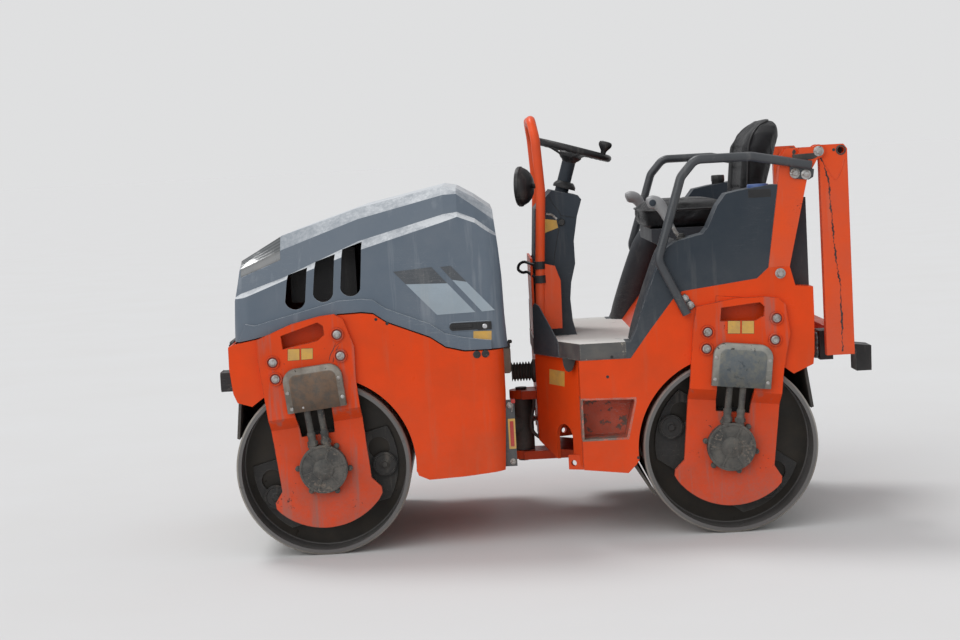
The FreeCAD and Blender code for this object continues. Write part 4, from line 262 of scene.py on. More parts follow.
finishes = {
    "orangePaint": {
        "color": (0.7, 0.058, 0.006), "tint": (0.6, 0.056, 0.008), "rough": 0.36, "coat": 0.02,
        "chip": (0.035, 0.022, 0.018), "chipLevel": 0.69, "edge": 0.55, "edgeWidth": 0.003,
        "dustAndTopLight": (0.3, 0.15, 0.09), "dustLow": 0.0, "dustHigh": 0.62, "dustAndTopLightShare": 0.36, "streak": 0.16,
        "scratch": 0.22, "scratchColor": (0.10, 0.05, 0.035), "scratchLevel": 0.57, "specular": 0.16},
    "legPaint": {
        "color": (0.68, 0.056, 0.006), "tint": (0.56, 0.055, 0.01), "rough": 0.42, "coat": 0.02,
        "chip": (0.03, 0.02, 0.017), "chipLevel": 0.64, "edge": 0.8, "dustAndTopLight": (0.22, 0.14, 0.12),
        "dustLow": 0.02, "dustAndTopLightShare": 0.8, "topDustAndLight": 0.45, "streak": 0.5, "streakLevel": 0.55, "scratch": 0.4,
        "scratchColor": (0.08, 0.04, 0.03), "specular": 0.16},
    "foldPaint": {
        "color": (0.7, 0.072, 0.012), "tint": (0.6, 0.075, 0.025), "rough": 0.42, "coat": 0.02,
        "chip": (0.03, 0.02, 0.018), "chipLevel": 0.655, "edge": 0.7, "edgeWidth": 0.003,
        "dustAndTopLight": (0.4, 0.22, 0.15), "dustLow": 0.3, "dustHigh": 1.3, "dustAndTopLightShare": 0.18, "topDustAndLight": 0.45,
        "streak": 0.22, "scratch": 0.35, "scratchColor": (0.08, 0.04, 0.03), "specular": 0.18},
    # hood: the pale colour laid on faces that look up is painted highlight of the lit top, mottled like dust
    "hoodPaint": {
        "color": (0.1, 0.129, 0.164), "tint": (0.12, 0.146, 0.178), "rough": 0.4, "roughSpread": 0.06,
        "chip": (0.05, 0.055, 0.06), "chipLevel": 0.74, "edge": 0.35, "edgeColor": (0.42, 0.45, 0.48),
        "edgeWidth": 0.003, "dustAndTopLight": (0.52, 0.54, 0.56), "dustLow": -2.0, "dustHigh": -1.0, "dustAndTopLightShare": 0.62,
        "topDustAndLight": 4.0, "streak": 0.14, "scratch": 0.4, "scratchColor": (0.32, 0.33, 0.33), "grain": 400.0,
        "bump": 0.0004, "specular": 0.35},
    # deck: the near-white colour laid on faces that look up is painted highlight of the lit top, mottled like dust
    "deckPaint": {
        "color": (0.06, 0.062, 0.064), "tint": (0.1, 0.096, 0.088), "blotch": 11.0, "chip": (0.28, 0.26, 0.22),
        "chipLevel": 0.62, "chipScale": 45.0, "edge": 0.6, "edgeColor": (0.36, 0.34, 0.29), "edgeWidth": 0.005,
        "dustAndTopLight": (0.66, 0.64, 0.61), "dustLow": -2.0, "dustHigh": -1.0, "dustAndTopLightShare": 0.85, "topDustAndLight": 4.0,
        "scratch": 0.6},
    "consolePlastic": {
        "color": (0.02, 0.029, 0.04), "tint": (0.03, 0.038, 0.048), "rough": 0.52, "roughSpread": 0.08,
        "chip": (0.11, 0.11, 0.11), "chipLevel": 0.76, "edge": 0.55, "edgeColor": (0.32, 0.33, 0.34),
        "edgeWidth": 0.003, "dustAndTopLight": (0.30, 0.29, 0.27), "dustLow": 0.6, "dustHigh": 0.95, "dustAndTopLightShare": 0.2,
        "topDustAndLight": 0.5, "streak": 0.1, "scratchColor": (0.18, 0.18, 0.18), "grain": 600.0, "bump": 0.0005,
        "specular": 0.3},
    "tankPlastic": {
        "color": (0.022, 0.026, 0.033), "tint": (0.034, 0.037, 0.043), "rough": 0.58, "edge": 0.5,
        "edgeColor": (0.2, 0.2, 0.2), "dustAndTopLight": (0.30, 0.28, 0.25), "dustLow": 0.6, "dustHigh": 1.0,
        "dustAndTopLightShare": 0.25, "topDustAndLight": 0.7, "grain": 500.0, "specular": 0.3},
    "railPaint": {
        "color": (0.034, 0.038, 0.043), "tint": (0.05, 0.054, 0.06), "rough": 0.34, "edge": 0.1,
        "chip": (0.18, 0.17, 0.16), "chipLevel": 0.70, "dustAndTopLight": (0.32, 0.30, 0.27), "dustLow": 0.3,
        "dustHigh": 0.9, "dustAndTopLightShare": 0.2, "topDustAndLight": 0.4, "scratch": 0.5},
    "blackPlastic": {
        "color": (0.012, 0.012, 0.013), "tint": (0.02, 0.02, 0.021), "rough": 0.46, "edge": 0.35,
        "edgeColor": (0.10, 0.10, 0.10), "chip": (0.05, 0.05, 0.05), "dustAndTopLight": (0.28, 0.26, 0.23), "dustLow": 0.2,
        "dustHigh": 0.7, "dustAndTopLightShare": 0.2, "topDustAndLight": 0.3, "grain": 700.0, "specular": 0.35},
    "hubIron": {
        "color": (0.034, 0.036, 0.036), "tint": (0.1, 0.095, 0.085), "blotch": 22.0, "rough": 0.62,
        "chip": (0.14, 0.12, 0.10), "chipLevel": 0.57, "chipScale": 90.0, "edge": 0.5,
        "edgeColor": (0.2, 0.19, 0.17), "dustAndTopLight": (0.30, 0.26, 0.22), "dustLow": 0.0, "dustHigh": 0.6,
        "dustAndTopLightShare": 0.28, "topDustAndLight": 0.6, "grain": 260.0, "bump": 0.0014, "specular": 0.3},
    "frontShield": {
        "color": (0.26, 0.24, 0.21), "tint": (0.14, 0.12, 0.10), "blotch": 16.0, "rough": 0.58,
        "middle": (0.15, 0.085, 0.048), "middleTint": (0.075, 0.060, 0.048), "metal": 0.25,
        "chip": (0.028, 0.022, 0.018), "chipLevel": 0.585, "chipScale": 45.0, "edge": 0.9,
        "edgeColor": (0.45, 0.43, 0.40), "edgeWidth": 0.005, "dustAndTopLight": (0.30, 0.25, 0.19), "dustLow": 0.3,
        "dustHigh": 0.8, "dustAndTopLightShare": 0.4, "streak": 0.5, "streakLevel": 0.5, "scratch": 0.7, "grain": 180.0,
        "bump": 0.0014},
    "rearShield": {
        "color": (0.34, 0.33, 0.29), "tint": (0.22, 0.22, 0.20), "blotch": 12.0,
        "middle": (0.095, 0.115, 0.130), "middleTint": (0.17, 0.17, 0.145), "rough": 0.52, "metal": 0.35,
        "chip": (0.035, 0.032, 0.03), "chipLevel": 0.63, "chipScale": 45.0, "edge": 0.8,
        "edgeColor": (0.40, 0.41, 0.41), "edgeWidth": 0.005, "dustAndTopLight": (0.30, 0.28, 0.24), "dustLow": 0.3,
        "dustHigh": 0.8, "dustAndTopLightShare": 0.35, "streak": 0.35, "scratch": 0.8, "scratchLevel": 0.45,
        "grain": 180.0, "bump": 0.001},
    "blackSteel": {
        "color": (0.020, 0.019, 0.018), "tint": (0.04, 0.035, 0.03), "rough": 0.55, "edge": 0.5,
        "edgeColor": (0.14, 0.12, 0.10), "chip": (0.10, 0.06, 0.04), "chipLevel": 0.64,
        "dustAndTopLight": (0.28, 0.24, 0.20), "dustLow": 0.0, "dustHigh": 0.6, "dustAndTopLightShare": 0.45, "topDustAndLight": 0.6,
        "bump": 0.001},
    "engineIron": {
        "color": (0.018, 0.018, 0.019), "tint": (0.032, 0.032, 0.033), "rough": 0.7, "edge": 0.1,
        "dustAndTopLight": (0.12, 0.11, 0.10), "dustLow": 0.5, "dustHigh": 1.0, "dustAndTopLightShare": 0.3, "bump": 0.0015},
    "drumSteel": {
        "color": (0.33, 0.31, 0.28), "tint": (0.24, 0.22, 0.195), "blotch": 9.0, "rough": 0.44,
        # the near-black inside is painted shade in the drum's hollow, mottled with grime
        "inside": (0.014, 0.012, 0.010), "insideTint": (0.032, 0.026, 0.020), "band": (0.135, 0.130, 0.128),
        "metal": 0.55, "chip": (0.10, 0.065, 0.042), "chipLevel": 0.62, "chipScale": 55.0, "edge": 0.5,
        "edgeColor": (0.5, 0.48, 0.44), "dustAndTopLight": (0.35, 0.32, 0.28), "dustLow": -0.1, "dustHigh": 0.45,
        "dustAndTopLightShare": 0.35, "topDustAndLight": 0.3, "streak": 0.25, "scratch": 0.5, "grain": 300.0, "bump": 0.0008,
        "specular": 0.3},
    "carrierSteel": {
        "color": (0.016, 0.017, 0.019), "tint": (0.03, 0.029, 0.028), "edge": 0.5,
        "edgeColor": (0.18, 0.17, 0.155), "chip": (0.12, 0.10, 0.085), "chipLevel": 0.62,
        "dustAndTopLight": (0.28, 0.25, 0.21), "dustLow": 0.0, "dustHigh": 0.55, "dustAndTopLightShare": 0.22, "topDustAndLight": 0.6,
        "streak": 0.3, "bump": 0.001, "specular": 0.3},
    "boltSteel": {
        "color": (0.45, 0.45, 0.44), "tint": (0.22, 0.19, 0.17), "blotch": 60.0, "rough": 0.42, "metal": 0.5,
        "chip": (0.13, 0.07, 0.04), "chipLevel": 0.58, "chipScale": 260.0, "edge": 0.3, "edgeWidth": 0.0015,
        "edgeColor": (0.6, 0.6, 0.6), "dustAndTopLight": (0.35, 0.31, 0.26), "dustLow": 0.1, "dustHigh": 0.9,
        "dustAndTopLightShare": 0.4, "scratch": 0.2, "grain": 500.0},
    "yellowPlate": {
        "color": (0.60, 0.34, 0.055), "tint": (0.45, 0.27, 0.07), "blotch": 25.0, "edge": 0.5,
        "edgeWidth": 0.002, "chip": (0.30, 0.19, 0.10), "chipLevel": 0.62, "chipScale": 160.0,
        "dustAndTopLight": (0.38, 0.30, 0.20), "dustLow": 0.3, "dustHigh": 0.9, "dustAndTopLightShare": 0.4, "streak": 0.3},
    "stripeDark": {
        "color": (0.060, 0.068, 0.078), "tint": (0.075, 0.083, 0.093), "rough": 0.42, "edge": 0.0,
        "chip": (0.2, 0.22, 0.24), "chipLevel": 0.69, "dustAndTopLight": (0.42, 0.41, 0.38), "dustAndTopLightShare": 0.25,
        "dustLow": -2.0, "dustHigh": -1.0, "scratch": 0.4},
    # dark red: painted shadow in the gap round each leg bolt
    "boltGapShade": {
        "color": (0.20, 0.018, 0.008), "tint": (0.14, 0.014, 0.008), "dustAndTopLightShare": 0.2, "specular": 0.3},
    "stripePaint": {
        "color": (0.29, 0.35, 0.4), "tint": (0.25, 0.3, 0.34), "rough": 0.42, "edge": 0.0,
        "chip": (0.15, 0.17, 0.20), "chipLevel": 0.69, "dustAndTopLight": (0.42, 0.41, 0.38), "dustAndTopLightShare": 0.25,
        "dustLow": 0.6, "dustHigh": 0.9, "scratch": 0.4, "scratchColor": (0.2, 0.2, 0.2)},
    "hoseRubber": {
        "color": (0.016, 0.016, 0.017), "tint": (0.035, 0.033, 0.03), "rough": 0.6, "edge": 0.2,
        "edgeColor": (0.12, 0.11, 0.10), "dustAndTopLight": (0.30, 0.27, 0.23), "dustLow": 0.1, "dustHigh": 0.7,
        "dustAndTopLightShare": 0.5, "topDustAndLight": 0.6, "grain": 900.0},
    "redPlastic": {
        "color": (0.45, 0.02, 0.015), "tint": (0.30, 0.02, 0.015), "rough": 0.4, "dustAndTopLight": (0.3, 0.2, 0.16)},
    "bluePlastic": {
        "color": (0.03, 0.07, 0.22), "tint": (0.04, 0.09, 0.25), "rough": 0.42, "dustAndTopLight": (0.3, 0.29, 0.27),
        "dustLow": 0.8, "dustHigh": 1.3, "dustAndTopLightShare": 0.2},
    "gripPlastic": {
        "color": (0.20, 0.20, 0.21), "tint": (0.28, 0.28, 0.28), "rough": 0.42, "edge": 0.3,
        "edgeColor": (0.4, 0.4, 0.4), "dustAndTopLight": (0.36, 0.35, 0.33), "dustLow": 0.8, "dustHigh": 1.3,
        "dustAndTopLightShare": 0.3, "topDustAndLight": 0.6, "grain": 600.0},
    "stepPaint": {
        "color": (0.60, 0.065, 0.014), "tint": (0.42, 0.055, 0.02), "blotch": 14.0, "rough": 0.55,
        "chip": (0.13, 0.085, 0.07), "chipScale": 26.0, "chipLevel": 0.545, "edge": 0.9, "edgeWidth": 0.006,
        "edgeColor": (0.30, 0.26, 0.23), "dustAndTopLight": (0.33, 0.26, 0.21), "dustLow": 0.2, "dustHigh": 0.7,
        "topDustAndLight": 1.0, "scratch": 0.8, "scratchLevel": 0.42, "bump": 0.0012},
    "beigeFitting": {
        "color": (0.42, 0.38, 0.30), "tint": (0.34, 0.30, 0.24), "rough": 0.55, "metal": 0.3,
        "dustAndTopLight": (0.34, 0.30, 0.24), "dustLow": 0.2, "dustHigh": 0.8, "dustAndTopLightShare": 0.5, "bump": 0.001}}
paints = {name: wornFinish(name, changes) for name, changes in finishes.items()}


def vinylFinish(name, color):
    # leather grain from small cells, with rubbed light places
    material, tree, shader, where = newFinish(name)
    cloud = noise(tree, where, 7.0, 4.0, 0.6)
    dark, light = tuple(c * 0.6 for c in color), tuple(c * 2.2 + 0.004 for c in color)
    base = blendColor(tree, ramp(tree, cloud, 0.35, 0.7), dark, light)
    dustAndTopLight = useGroup(tree, "dustAndTopLight", where, Low=-2.0, High=-1.0, Top=0.06)
    cells = addNode(tree, "TexVoronoi", {"Vector": where, "Scale": 420.0}, feature="DISTANCE_TO_EDGE").outputs[0]
    creases = product(tree, noise(tree, where, 38.0, 4.0, 0.65), 0.8)
    height = maths(tree, "ADD", ramp(tree, cells, 0.0, 0.12), creases)
    bump = addNode(tree, "Bump", {"Height": height, "Distance": 0.0007, "Strength": 0.8})
    setShader(tree, shader, {"Base Color": blendColor(tree, dustAndTopLight, base, (0.22, 0.21, 0.19)),
                             "Roughness": ramp(tree, cloud, 0.3, 0.75, 0.36, 0.52),
                             "Normal": bump.outputs[0], "Specular IOR Level": 0.22})
    return material


def lensFinish(name, color, strength):
    # clear plastic over a dark reflector with ribs
    material, tree, shader, where = newFinish(name)
    ribs = addNode(tree, "TexWave", {"Vector": where, "Scale": 34.0, "Distortion": 0.6}, bands_direction="Y")
    ribs, cloud = ribs.outputs["Fac"], noise(tree, where, 14.0, 3.0)
    tone = blendColor(tree, ramp(tree, ribs, 0.2, 0.8), color, tuple(c * 0.55 for c in color))
    dusty = blendColor(tree, ramp(tree, cloud, 0.5, 0.75, 0.0, 0.4), tone, (0.22, 0.21, 0.20))
    bump = addNode(tree, "Bump", {"Height": ribs, "Distance": 0.0015, "Strength": strength})
    setShader(tree, shader, {"Base Color": dusty, "Roughness": ramp(tree, cloud, 0.35, 0.7, 0.08, 0.4),
                             "Normal": bump.outputs[0], "Coat Weight": 0.8})
    return material


def chromeFinish(name):
    # bright metal where no dust lies
    material, tree, shader, where = newFinish(name)
    dustAndTopLight = useGroup(tree, "dustAndTopLight", where, Low=0.0, High=0.5, Top=0.5)
    setShader(tree, shader, {"Base Color": blendColor(tree, dustAndTopLight, (0.62, 0.62, 0.63), (0.3, 0.27, 0.23)),
                             "Roughness": ramp(tree, dustAndTopLight, 0.0, 1.0, 0.12, 0.8),
                             "Metallic": ramp(tree, dustAndTopLight, 0.0, 1.0, 1.0, 0.2)})
    return material


paints["seatVinyl"] = vinylFinish("seatVinyl", (0.005, 0.005, 0.006))
paints["lens"] = lensFinish("lens", (0.10, 0.108, 0.112), 0.2)
paints["chrome"] = chromeFinish("chrome")
print("finishes made")

nodePaints = {
    "orangePaint": "rear_frame rear_arch deck_bearer rear_slope rear_tail rear_sides bulkhead front_frame",
    "stepPaint": "step_pockets", "foldPaint": "front_hoop rops_posts rops_frame",
    "legPaint": "front_legs rear_legs", "hoodPaint": "hood", "deckPaint": "platform",
    "consolePlastic": "splash_guards side_consoles steering_console", "tankPlastic": "rear_tank seat_base",
    "railPaint": "side_rails lock_bar", "lens": "headlights", "chrome": "cylinder_rod",
    "blackPlastic": "travel_levers work_lamp rops_lamps nose_lamps steering_wheel",
    "hubIron": "front_hub_motors rear_hub_motors", "frontShield": "front_shields", "rearShield": "rear_shields",
    "blackSteel": "front_scraper rear_scrapers yoke cylinder_barrel", "engineIron": "engine",
    "drumSteel": "front_drum rear_drum", "carrierSteel": "front_drum_carriers rear_drum_carriers",
    "seatVinyl": "seat_cushion seat_back"}
paintOf = {node: paint for paint, nodes in nodePaints.items() for node in nodes.split()}
for node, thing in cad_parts.items():
    for place in thing.material_slots:
        place.material = paints[paintOf[node]]
    if not thing.material_slots:
        thing.data.materials.append(paints[paintOf[node]])
print("nodes painted")


# Shapes: a solid is (points, faces); every shape is worked out as whole arrays

def gridFaces(rows, columns, around=True):
    # quads of a rows x columns grid, joined round in its second direction
    i, j = np.meshgrid(np.arange(rows - 1), np.arange(columns if around else columns - 1), indexing="ij")
    k = (j + 1) % columns
    quads = [i * columns + j, i * columns + k, (i + 1) * columns + k, (i + 1) * columns + j]
    return np.stack(quads, -1).reshape(-1, 4).tolist()


def lathe(profile, sides=24):
    # P(h, a) = (r(h) cos a, r(h) sin a, h), about Z
    profile = np.array(profile, float)
    angle = np.linspace(0, 2 * np.pi, sides, endpoint=False)
    radius, height = profile[:, :1], profile[:, 1:]
    points = np.stack([radius * np.cos(angle), radius * np.sin(angle), height + 0 * angle], -1)
    return points.reshape(-1, 3), gridFaces(len(profile), sides)


def hollowRing(profile, sides):
    # the same with a closed profile: its last circle joins its first
    points, faces = lathe(profile, sides)
    last = len(points) - sides
    return points, faces + [[k, k + last, (k + 1) % sides + last, (k + 1) % sides] for k in range(sides)]


def tube(path, radius, sides=12, up=(0, 0, 1)):
    # circle carried along a path; its axes are the tangent crossed with a fixed direction
    path = np.array(path, float)
    tangent = np.gradient(path, axis=0)
    tangent /= np.linalg.norm(tangent, axis=1)[:, None]
    first = np.cross(tangent, np.array(up, float))
    first /= np.linalg.norm(first, axis=1)[:, None]
    second = np.cross(first, tangent)
    path, first, second = (np.vstack([rows[:1], rows, rows[-1:]]) for rows in (path, first, second))
    radii = np.broadcast_to(np.array(radius, float), (len(path) - 2,))
    radii = np.concatenate([[0.0], radii, [0.0]])[:, None, None]
    angle = np.linspace(0, 2 * np.pi, sides, endpoint=False)[None, :, None]
    ring = np.cos(angle) * first[:, None] + np.sin(angle) * second[:, None]
    return (path[:, None] + radii * ring).reshape(-1, 3), gridFaces(len(path), sides)


def smoothPath(points, count=48):
    # Catmull-Rom curve through the points
    p = np.array(points, float)
    p = np.vstack([2 * p[0] - p[1], p, 2 * p[-1] - p[-2]])
    t = np.linspace(0, len(p) - 3 - 1e-9, count)
    i = t.astype(int)
    f = (t - i)[:, None]
    a, b, c, d = p[i], p[i + 1], p[i + 2], p[i + 3]
    return 0.5 * (2 * b + (c - a) * f + (2 * a - 5 * b + 4 * c - d) * f ** 2
                  + (3 * b - a - 3 * c + d) * f ** 3)


def sideCurve(points, y, count):
    # smooth curve through points given as X, Z at one distance from the middle
    return smoothPath([(x, y, z) for x, z in points], count)


def sideTube(points, y, count, radius, sides):
    return tube(sideCurve(points, y, count), radius, sides, up=(0, 1, 0))


def slab(outline, low, high):
    # outline in X, Z carried along Y from low to high
    outline = np.array(outline, float)
    count = len(outline)
    points = np.vstack([np.insert(outline, 1, y, axis=1) for y in (low, high)])
    ring = np.arange(count)
    sides = np.stack([ring, (ring + 1) % count, (ring + 1) % count + count, ring + count], -1).tolist()
    return points, sides + [ring[::-1].tolist(), (ring + count).tolist()]


def flatOn(outline, y, rise):
    # thin plate on a face at y, sunk a little into it
    return slab(outline, y - 0.0002, y + rise)


def roundedBox(half, radius, middle=(0.0, 0.0), steps=5):
    # outline of a rectangle with round corners: corner centre + radius * (cos a, sin a)
    wide, tall = half
    angle = np.linspace(0, np.pi / 2, steps + 1)
    corner = np.stack([np.cos(angle), np.sin(angle)], -1) * radius
    turn = np.array([[0, -1], [1, 0]])
    centres = np.array([[wide - radius, tall - radius], [-wide + radius, tall - radius],
                        [-wide + radius, -tall + radius], [wide - radius, -tall + radius]])
    rows = [centres[k] + corner @ np.linalg.matrix_power(turn, k).T for k in range(4)]
    return np.vstack(rows) + middle


def placed(solid, origin=(0, 0, 0), across=(1, 0, 0), along=(0, 1, 0), up=(0, 0, 1)):
    # P' = origin + x across + y along + z up
    points, faces = solid
    axes = np.array([across, along, up], float)
    if np.linalg.det(axes) < 0:
        faces = [face[::-1] for face in faces]
    return np.array(origin, float) + points @ axes, faces


forward = {"across": (0, 1, 0), "along": (0, 0, 1), "up": (1, 0, 0)}  # a lathe's Z turned to the front


def onSide(solid, x, y, z, turn=0.0):
    # the solid's Z goes to the machine's left, turned about that direction
    c, s = math.cos(turn), math.sin(turn)
    return placed(solid, (x, y, z), across=(c, 0, s), along=(-s, 0, c), up=(0, 1, 0))


def onNose(outline, x, rise):
    # outline in Y, Z carried forward along X
    return placed(slab(outline, 0.0, rise), (x, 0, 0), across=(0, 1, 0), along=(1, 0, 0))


def joined(solids):
    points, faces, count = [], [], 0
    for solid in solids:
        points.append(solid[0])
        faces += [[k + count for k in face] for face in solid[1]]
        count += len(solid[0])
    return np.vstack(points), faces


def mirrored(solid):
    return solid[0] * (1, -1, 1), [face[::-1] for face in solid[1]]


def hexBolt(washer, head, rise, thin=0.002):
    # round washer under a six-sided head whose crown is turned down
    return joined([lathe([(0, 0), (washer, 0), (washer, thin), (washer * 0.92, thin * 1.3), (0, thin * 1.3)], 28),
                   lathe([(0, thin), (head, thin), (head, thin + rise * 0.8), (head * 0.84, thin + rise),
                          (0, thin + rise)], 6)])


def makePiece(name, solids, paint, body, slot=None, bevel=0.0, smooth=40.0, both=True):
    # one object from its solids and their mirror images, doubles merged, normals outward, edges rounded
    if both:
        solids = list(solids) + [mirrored(solid) for solid in solids]
    points, faces = joined(solids)
    mesh = bpy.data.meshes.new(name)
    mesh.from_pydata(points.tolist(), [], faces)
    work = bmesh.new()
    work.from_mesh(mesh)
    bmesh.ops.remove_doubles(work, verts=work.verts, dist=1e-6)
    bmesh.ops.dissolve_degenerate(work, dist=1e-7, edges=work.edges)
    bmesh.ops.recalc_face_normals(work, faces=work.faces)
    work.to_mesh(mesh)
    work.free()
    mesh.materials.append(paints[paint])
    piece = bpy.data.objects.new(name, mesh)
    scene.collection.objects.link(piece)
    if bevel:
        rounding = piece.modifiers.new("rounded edges", "BEVEL")
        rounding.width = bevel
        rounding.segments = 2
        rounding.limit_method = "ANGLE"
        rounding.angle_limit = math.radians(35)
        rounding.harden_normals = False
    mesh.polygons.foreach_set("use_smooth", np.ones(len(mesh.polygons), bool))
    mesh.set_sharp_from_angle(angle=math.radians(smooth))
    if body:
        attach(piece, body)
    return piece


# Seat: a cushion and a back blown up a little as cloth, then drawn in at their seams

cushion = {
    "front": -0.352, "rear": -0.657, "half": 0.226, "low": 1.012, "top": 1.097, "wall": 0.058, "foot": 0.965,
    "powers": (0.36, 0.3), "cap": 0.010, "seamY": 0.128, "seamsBack": (0.075, 0.165), "channel": (0.0045, 0.006),
    "box": ((-0.657, -0.229, 1.011), (-0.350, 0.229, 1.106))}
backrest = {
    # height, front x, rear x, half width
    "stations": ((1.014, -0.664, -0.755, 0.188), (1.060, -0.680, -0.762, 0.203), (1.104, -0.697, -0.772, 0.210),
                 (1.180, -0.704, -0.795, 0.212), (1.272, -0.712, -0.824, 0.205), (1.318, -0.732, -0.842, 0.184),
                 (1.345, -0.760, -0.845, 0.150), (1.361, -0.797, -0.838, 0.098)),
    "powers": (0.55, 0.5), "bolster": 0.022, "cap": 0.008, "seamY": 0.118, "seamsUp": (1.13, 1.20, 1.27),
    "channel": (0.0042, 0.0055), "box": ((-0.853, -0.216, 1.011), (-0.655, 0.216, 1.368))}
cloth = {"cell": 0.0065, "pressure": 3.0, "quality": 4, "steps": 16}
padRound = 96  # points round a pad


def superellipse(count, powers, closed=False):
    # x = sign(cos a) |cos a|^p, y = sign(sin a) |sin a|^q
    a = np.linspace(0, 2 * np.pi, count, endpoint=closed)
    return tuple(np.sign(part) * np.abs(part) ** power for part, power in zip((np.cos(a), np.sin(a)), powers))


def pillow():
    # superellipse loop in X, Y whose half sizes follow the height; the top is crowned
    s = cushion
    length, middle = (s["front"] - s["rear"]) / 2, (s["front"] + s["rear"]) / 2
    x, y = superellipse(padRound, s["powers"])
    t = np.linspace(0, 1, 33)[:, None]
    climb = np.clip((t - 0.25) / 0.25, 0, 1)
    wall = s["foot"] + (1 - s["foot"]) * np.sin(climb * np.pi / 2)
    size = np.where(t < 0.25, t / 0.25 * s["foot"], np.where(t < 0.5, wall, np.cos((t - 0.5) * np.pi)))
    crown = np.where(t < 0.5, 0.0, (1 - size ** 4) * (s["top"] - s["low"] - s["wall"]))
    z = s["low"] + climb * s["wall"] + crown
    points = np.stack([middle + size * length * x, size * s["half"] * y, z + 0 * x], -1)
    return points.reshape(-1, 3), gridFaces(len(t), padRound)


def backShape():
    # superellipse loop in X, Y at each height; the front is hollow between two side bolsters
    s = backrest
    table = np.array(s["stations"])
    z = np.concatenate([[table[0, 0]], np.linspace(table[0, 0], table[-1, 0], 40), [table[-1, 0]]])[:, None]
    front, rear, half = (np.interp(z, table[:, 0], table[:, k]) for k in (1, 2, 3))
    size = np.ones(z.shape)
    size[[0, -1]] = 0.0
    loopX, loopY = superellipse(padRound, s["powers"])
    y = size * half * loopY
    inner = np.clip(1 - (np.abs(y) / (half * 0.72)) ** 3, 0, 1) * (loopX > 0)
    tall = np.clip((z - 1.05) / 0.06, 0, 1) * np.clip((1.345 - z) / 0.06, 0, 1)
    x = (front + rear) / 2 + size * ((front - rear) / 2) * loopX - s["bolster"] * inner * tall * size
    return np.stack([x, y, z + 0 * x], -1).reshape(-1, 3), gridFaces(len(z), padRound)


def pointsOf(mesh):
    points = np.empty(len(mesh.vertices) * 3)
    mesh.vertices.foreach_get("co", points)
    return points.reshape(-1, 3)


def movePoints(mesh, points):
    mesh.vertices.foreach_set("co", points.ravel())
    mesh.update()


def settled(piece):
    # the mesh as the piece's modifiers leave it, which are then taken off
    made = bpy.data.meshes.new_from_object(piece.evaluated_get(bpy.context.evaluated_depsgraph_get()))
    piece.modifiers.clear()
    return made


def puffed(piece, cap):
    # cloth blown up a little from its cut shape; no point moves further than the cap
    bpy.context.view_layer.objects.active = piece
    remesh = piece.modifiers.new("cells", "REMESH")
    remesh.mode = "VOXEL"
    remesh.voxel_size = cloth["cell"]
    piece.data = settled(piece)
    start = pointsOf(piece.data)
    cover = piece.modifiers.new("cover", "CLOTH")
    cover.settings.use_pressure = True
    cover.settings.uniform_pressure_force = cloth["pressure"]
    cover.settings.effector_weights.gravity = 0.0
    cover.settings.quality = cloth["quality"]
    for step in range(cloth["steps"]):
        scene.frame_set(step + 1)
    blown = settled(piece)
    move = pointsOf(blown) - start
    far = np.linalg.norm(move, axis=1)[:, None]
    movePoints(blown, start + move * np.minimum(1.0, cap / np.maximum(far, 1e-9)))
    piece.data = blown
    scene.frame_set(1)


def channels(lines, depth, width):
    # sum of depth * exp(-(distance to a seam / width)^2)
    return sum(depth * np.exp(-(line / width) ** 2) for line in lines)


def cushionSeams(points):
    # z falls along two seams from front to rear and two across between them, on the top only
    s = cushion
    x, y, z = points.T.copy()
    top = np.clip((z - s["low"] - 0.045) / 0.02, 0, 1)
    beyond = 0.5 * np.clip(np.abs(y) - s["seamY"], 0, 1)
    lines = [np.abs(np.abs(y) - s["seamY"])] + [np.abs(x - s["front"] + back) + beyond for back in s["seamsBack"]]
    return np.clip(np.stack([x, y, z - top * channels(lines, *s["channel"])], -1), *s["box"])


def backSeams(points):
    # x falls along two upright seams and three across between them, on the front only
    s = backrest
    x, y, z = points.T.copy()
    ahead = np.clip((x - np.interp(z, [1.0, 1.18, 1.36], [-0.712, -0.748, -0.812])) / 0.01, 0, 1)
    beyond = 0.6 * np.clip(np.abs(y) - s["seamY"], 0, 1)
    lines = [np.abs(np.abs(y) - s["seamY"])] + [np.abs(z - level) + beyond for level in s["seamsUp"]]
    return np.clip(np.stack([x - ahead * channels(lines, *s["channel"]), y, z], -1), *s["box"])


def softPiece(name, solid, node, cap, seams):
    piece = makePiece(name, [solid], "seatVinyl", "rear_body", smooth=180.0, both=False)
    puffed(piece, cap)
    movePoints(piece.data, seams(pointsOf(piece.data)))
    piece.data.polygons.foreach_set("use_smooth", np.ones(len(piece.data.polygons), bool))
    if not piece.data.materials:
        piece.data.materials.append(paints["seatVinyl"])
    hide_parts(node)


softPiece("seatCushion", pillow(), "seat_cushion", cushion["cap"], cushionSeams)
softPiece("seatBackrest", backShape(), "seat_back", backrest["cap"], backSeams)


def pipingLoops():
    # round the cushion's widest line, and up one side of the backrest, over its top and down the other side
    s = cushion
    length, middle = (s["front"] - s["rear"]) / 2 - 0.001, (s["front"] + s["rear"]) / 2
    x, y = superellipse(121, s["powers"], closed=True)
    loop = np.stack([middle + length * x, (s["half"] + 0.001) * y, 0 * x + s["low"] + 0.060], -1)
    table = np.array(backrest["stations"])[1:]
    side = np.stack([table[:, 1] - 0.016, table[:, 3] * 0.93, table[:, 0]], -1)
    over = smoothPath(np.vstack([side, side[::-1] * (1, -1, 1)]), 90)
    return [tube(loop, 0.0032, 8, up=(0.001, 0.002, 1)), tube(over, 0.0032, 8, up=(1, 0.03, 0.02))]


makePiece("seatPiping", pipingLoops(), "blackPlastic", "rear_body", "seat_vinyl", smooth=180.0, both=False)
print("seat made")


# Fittings of the legs, hub motors and drums; u is forward, w up from the axle, both turned by the lean

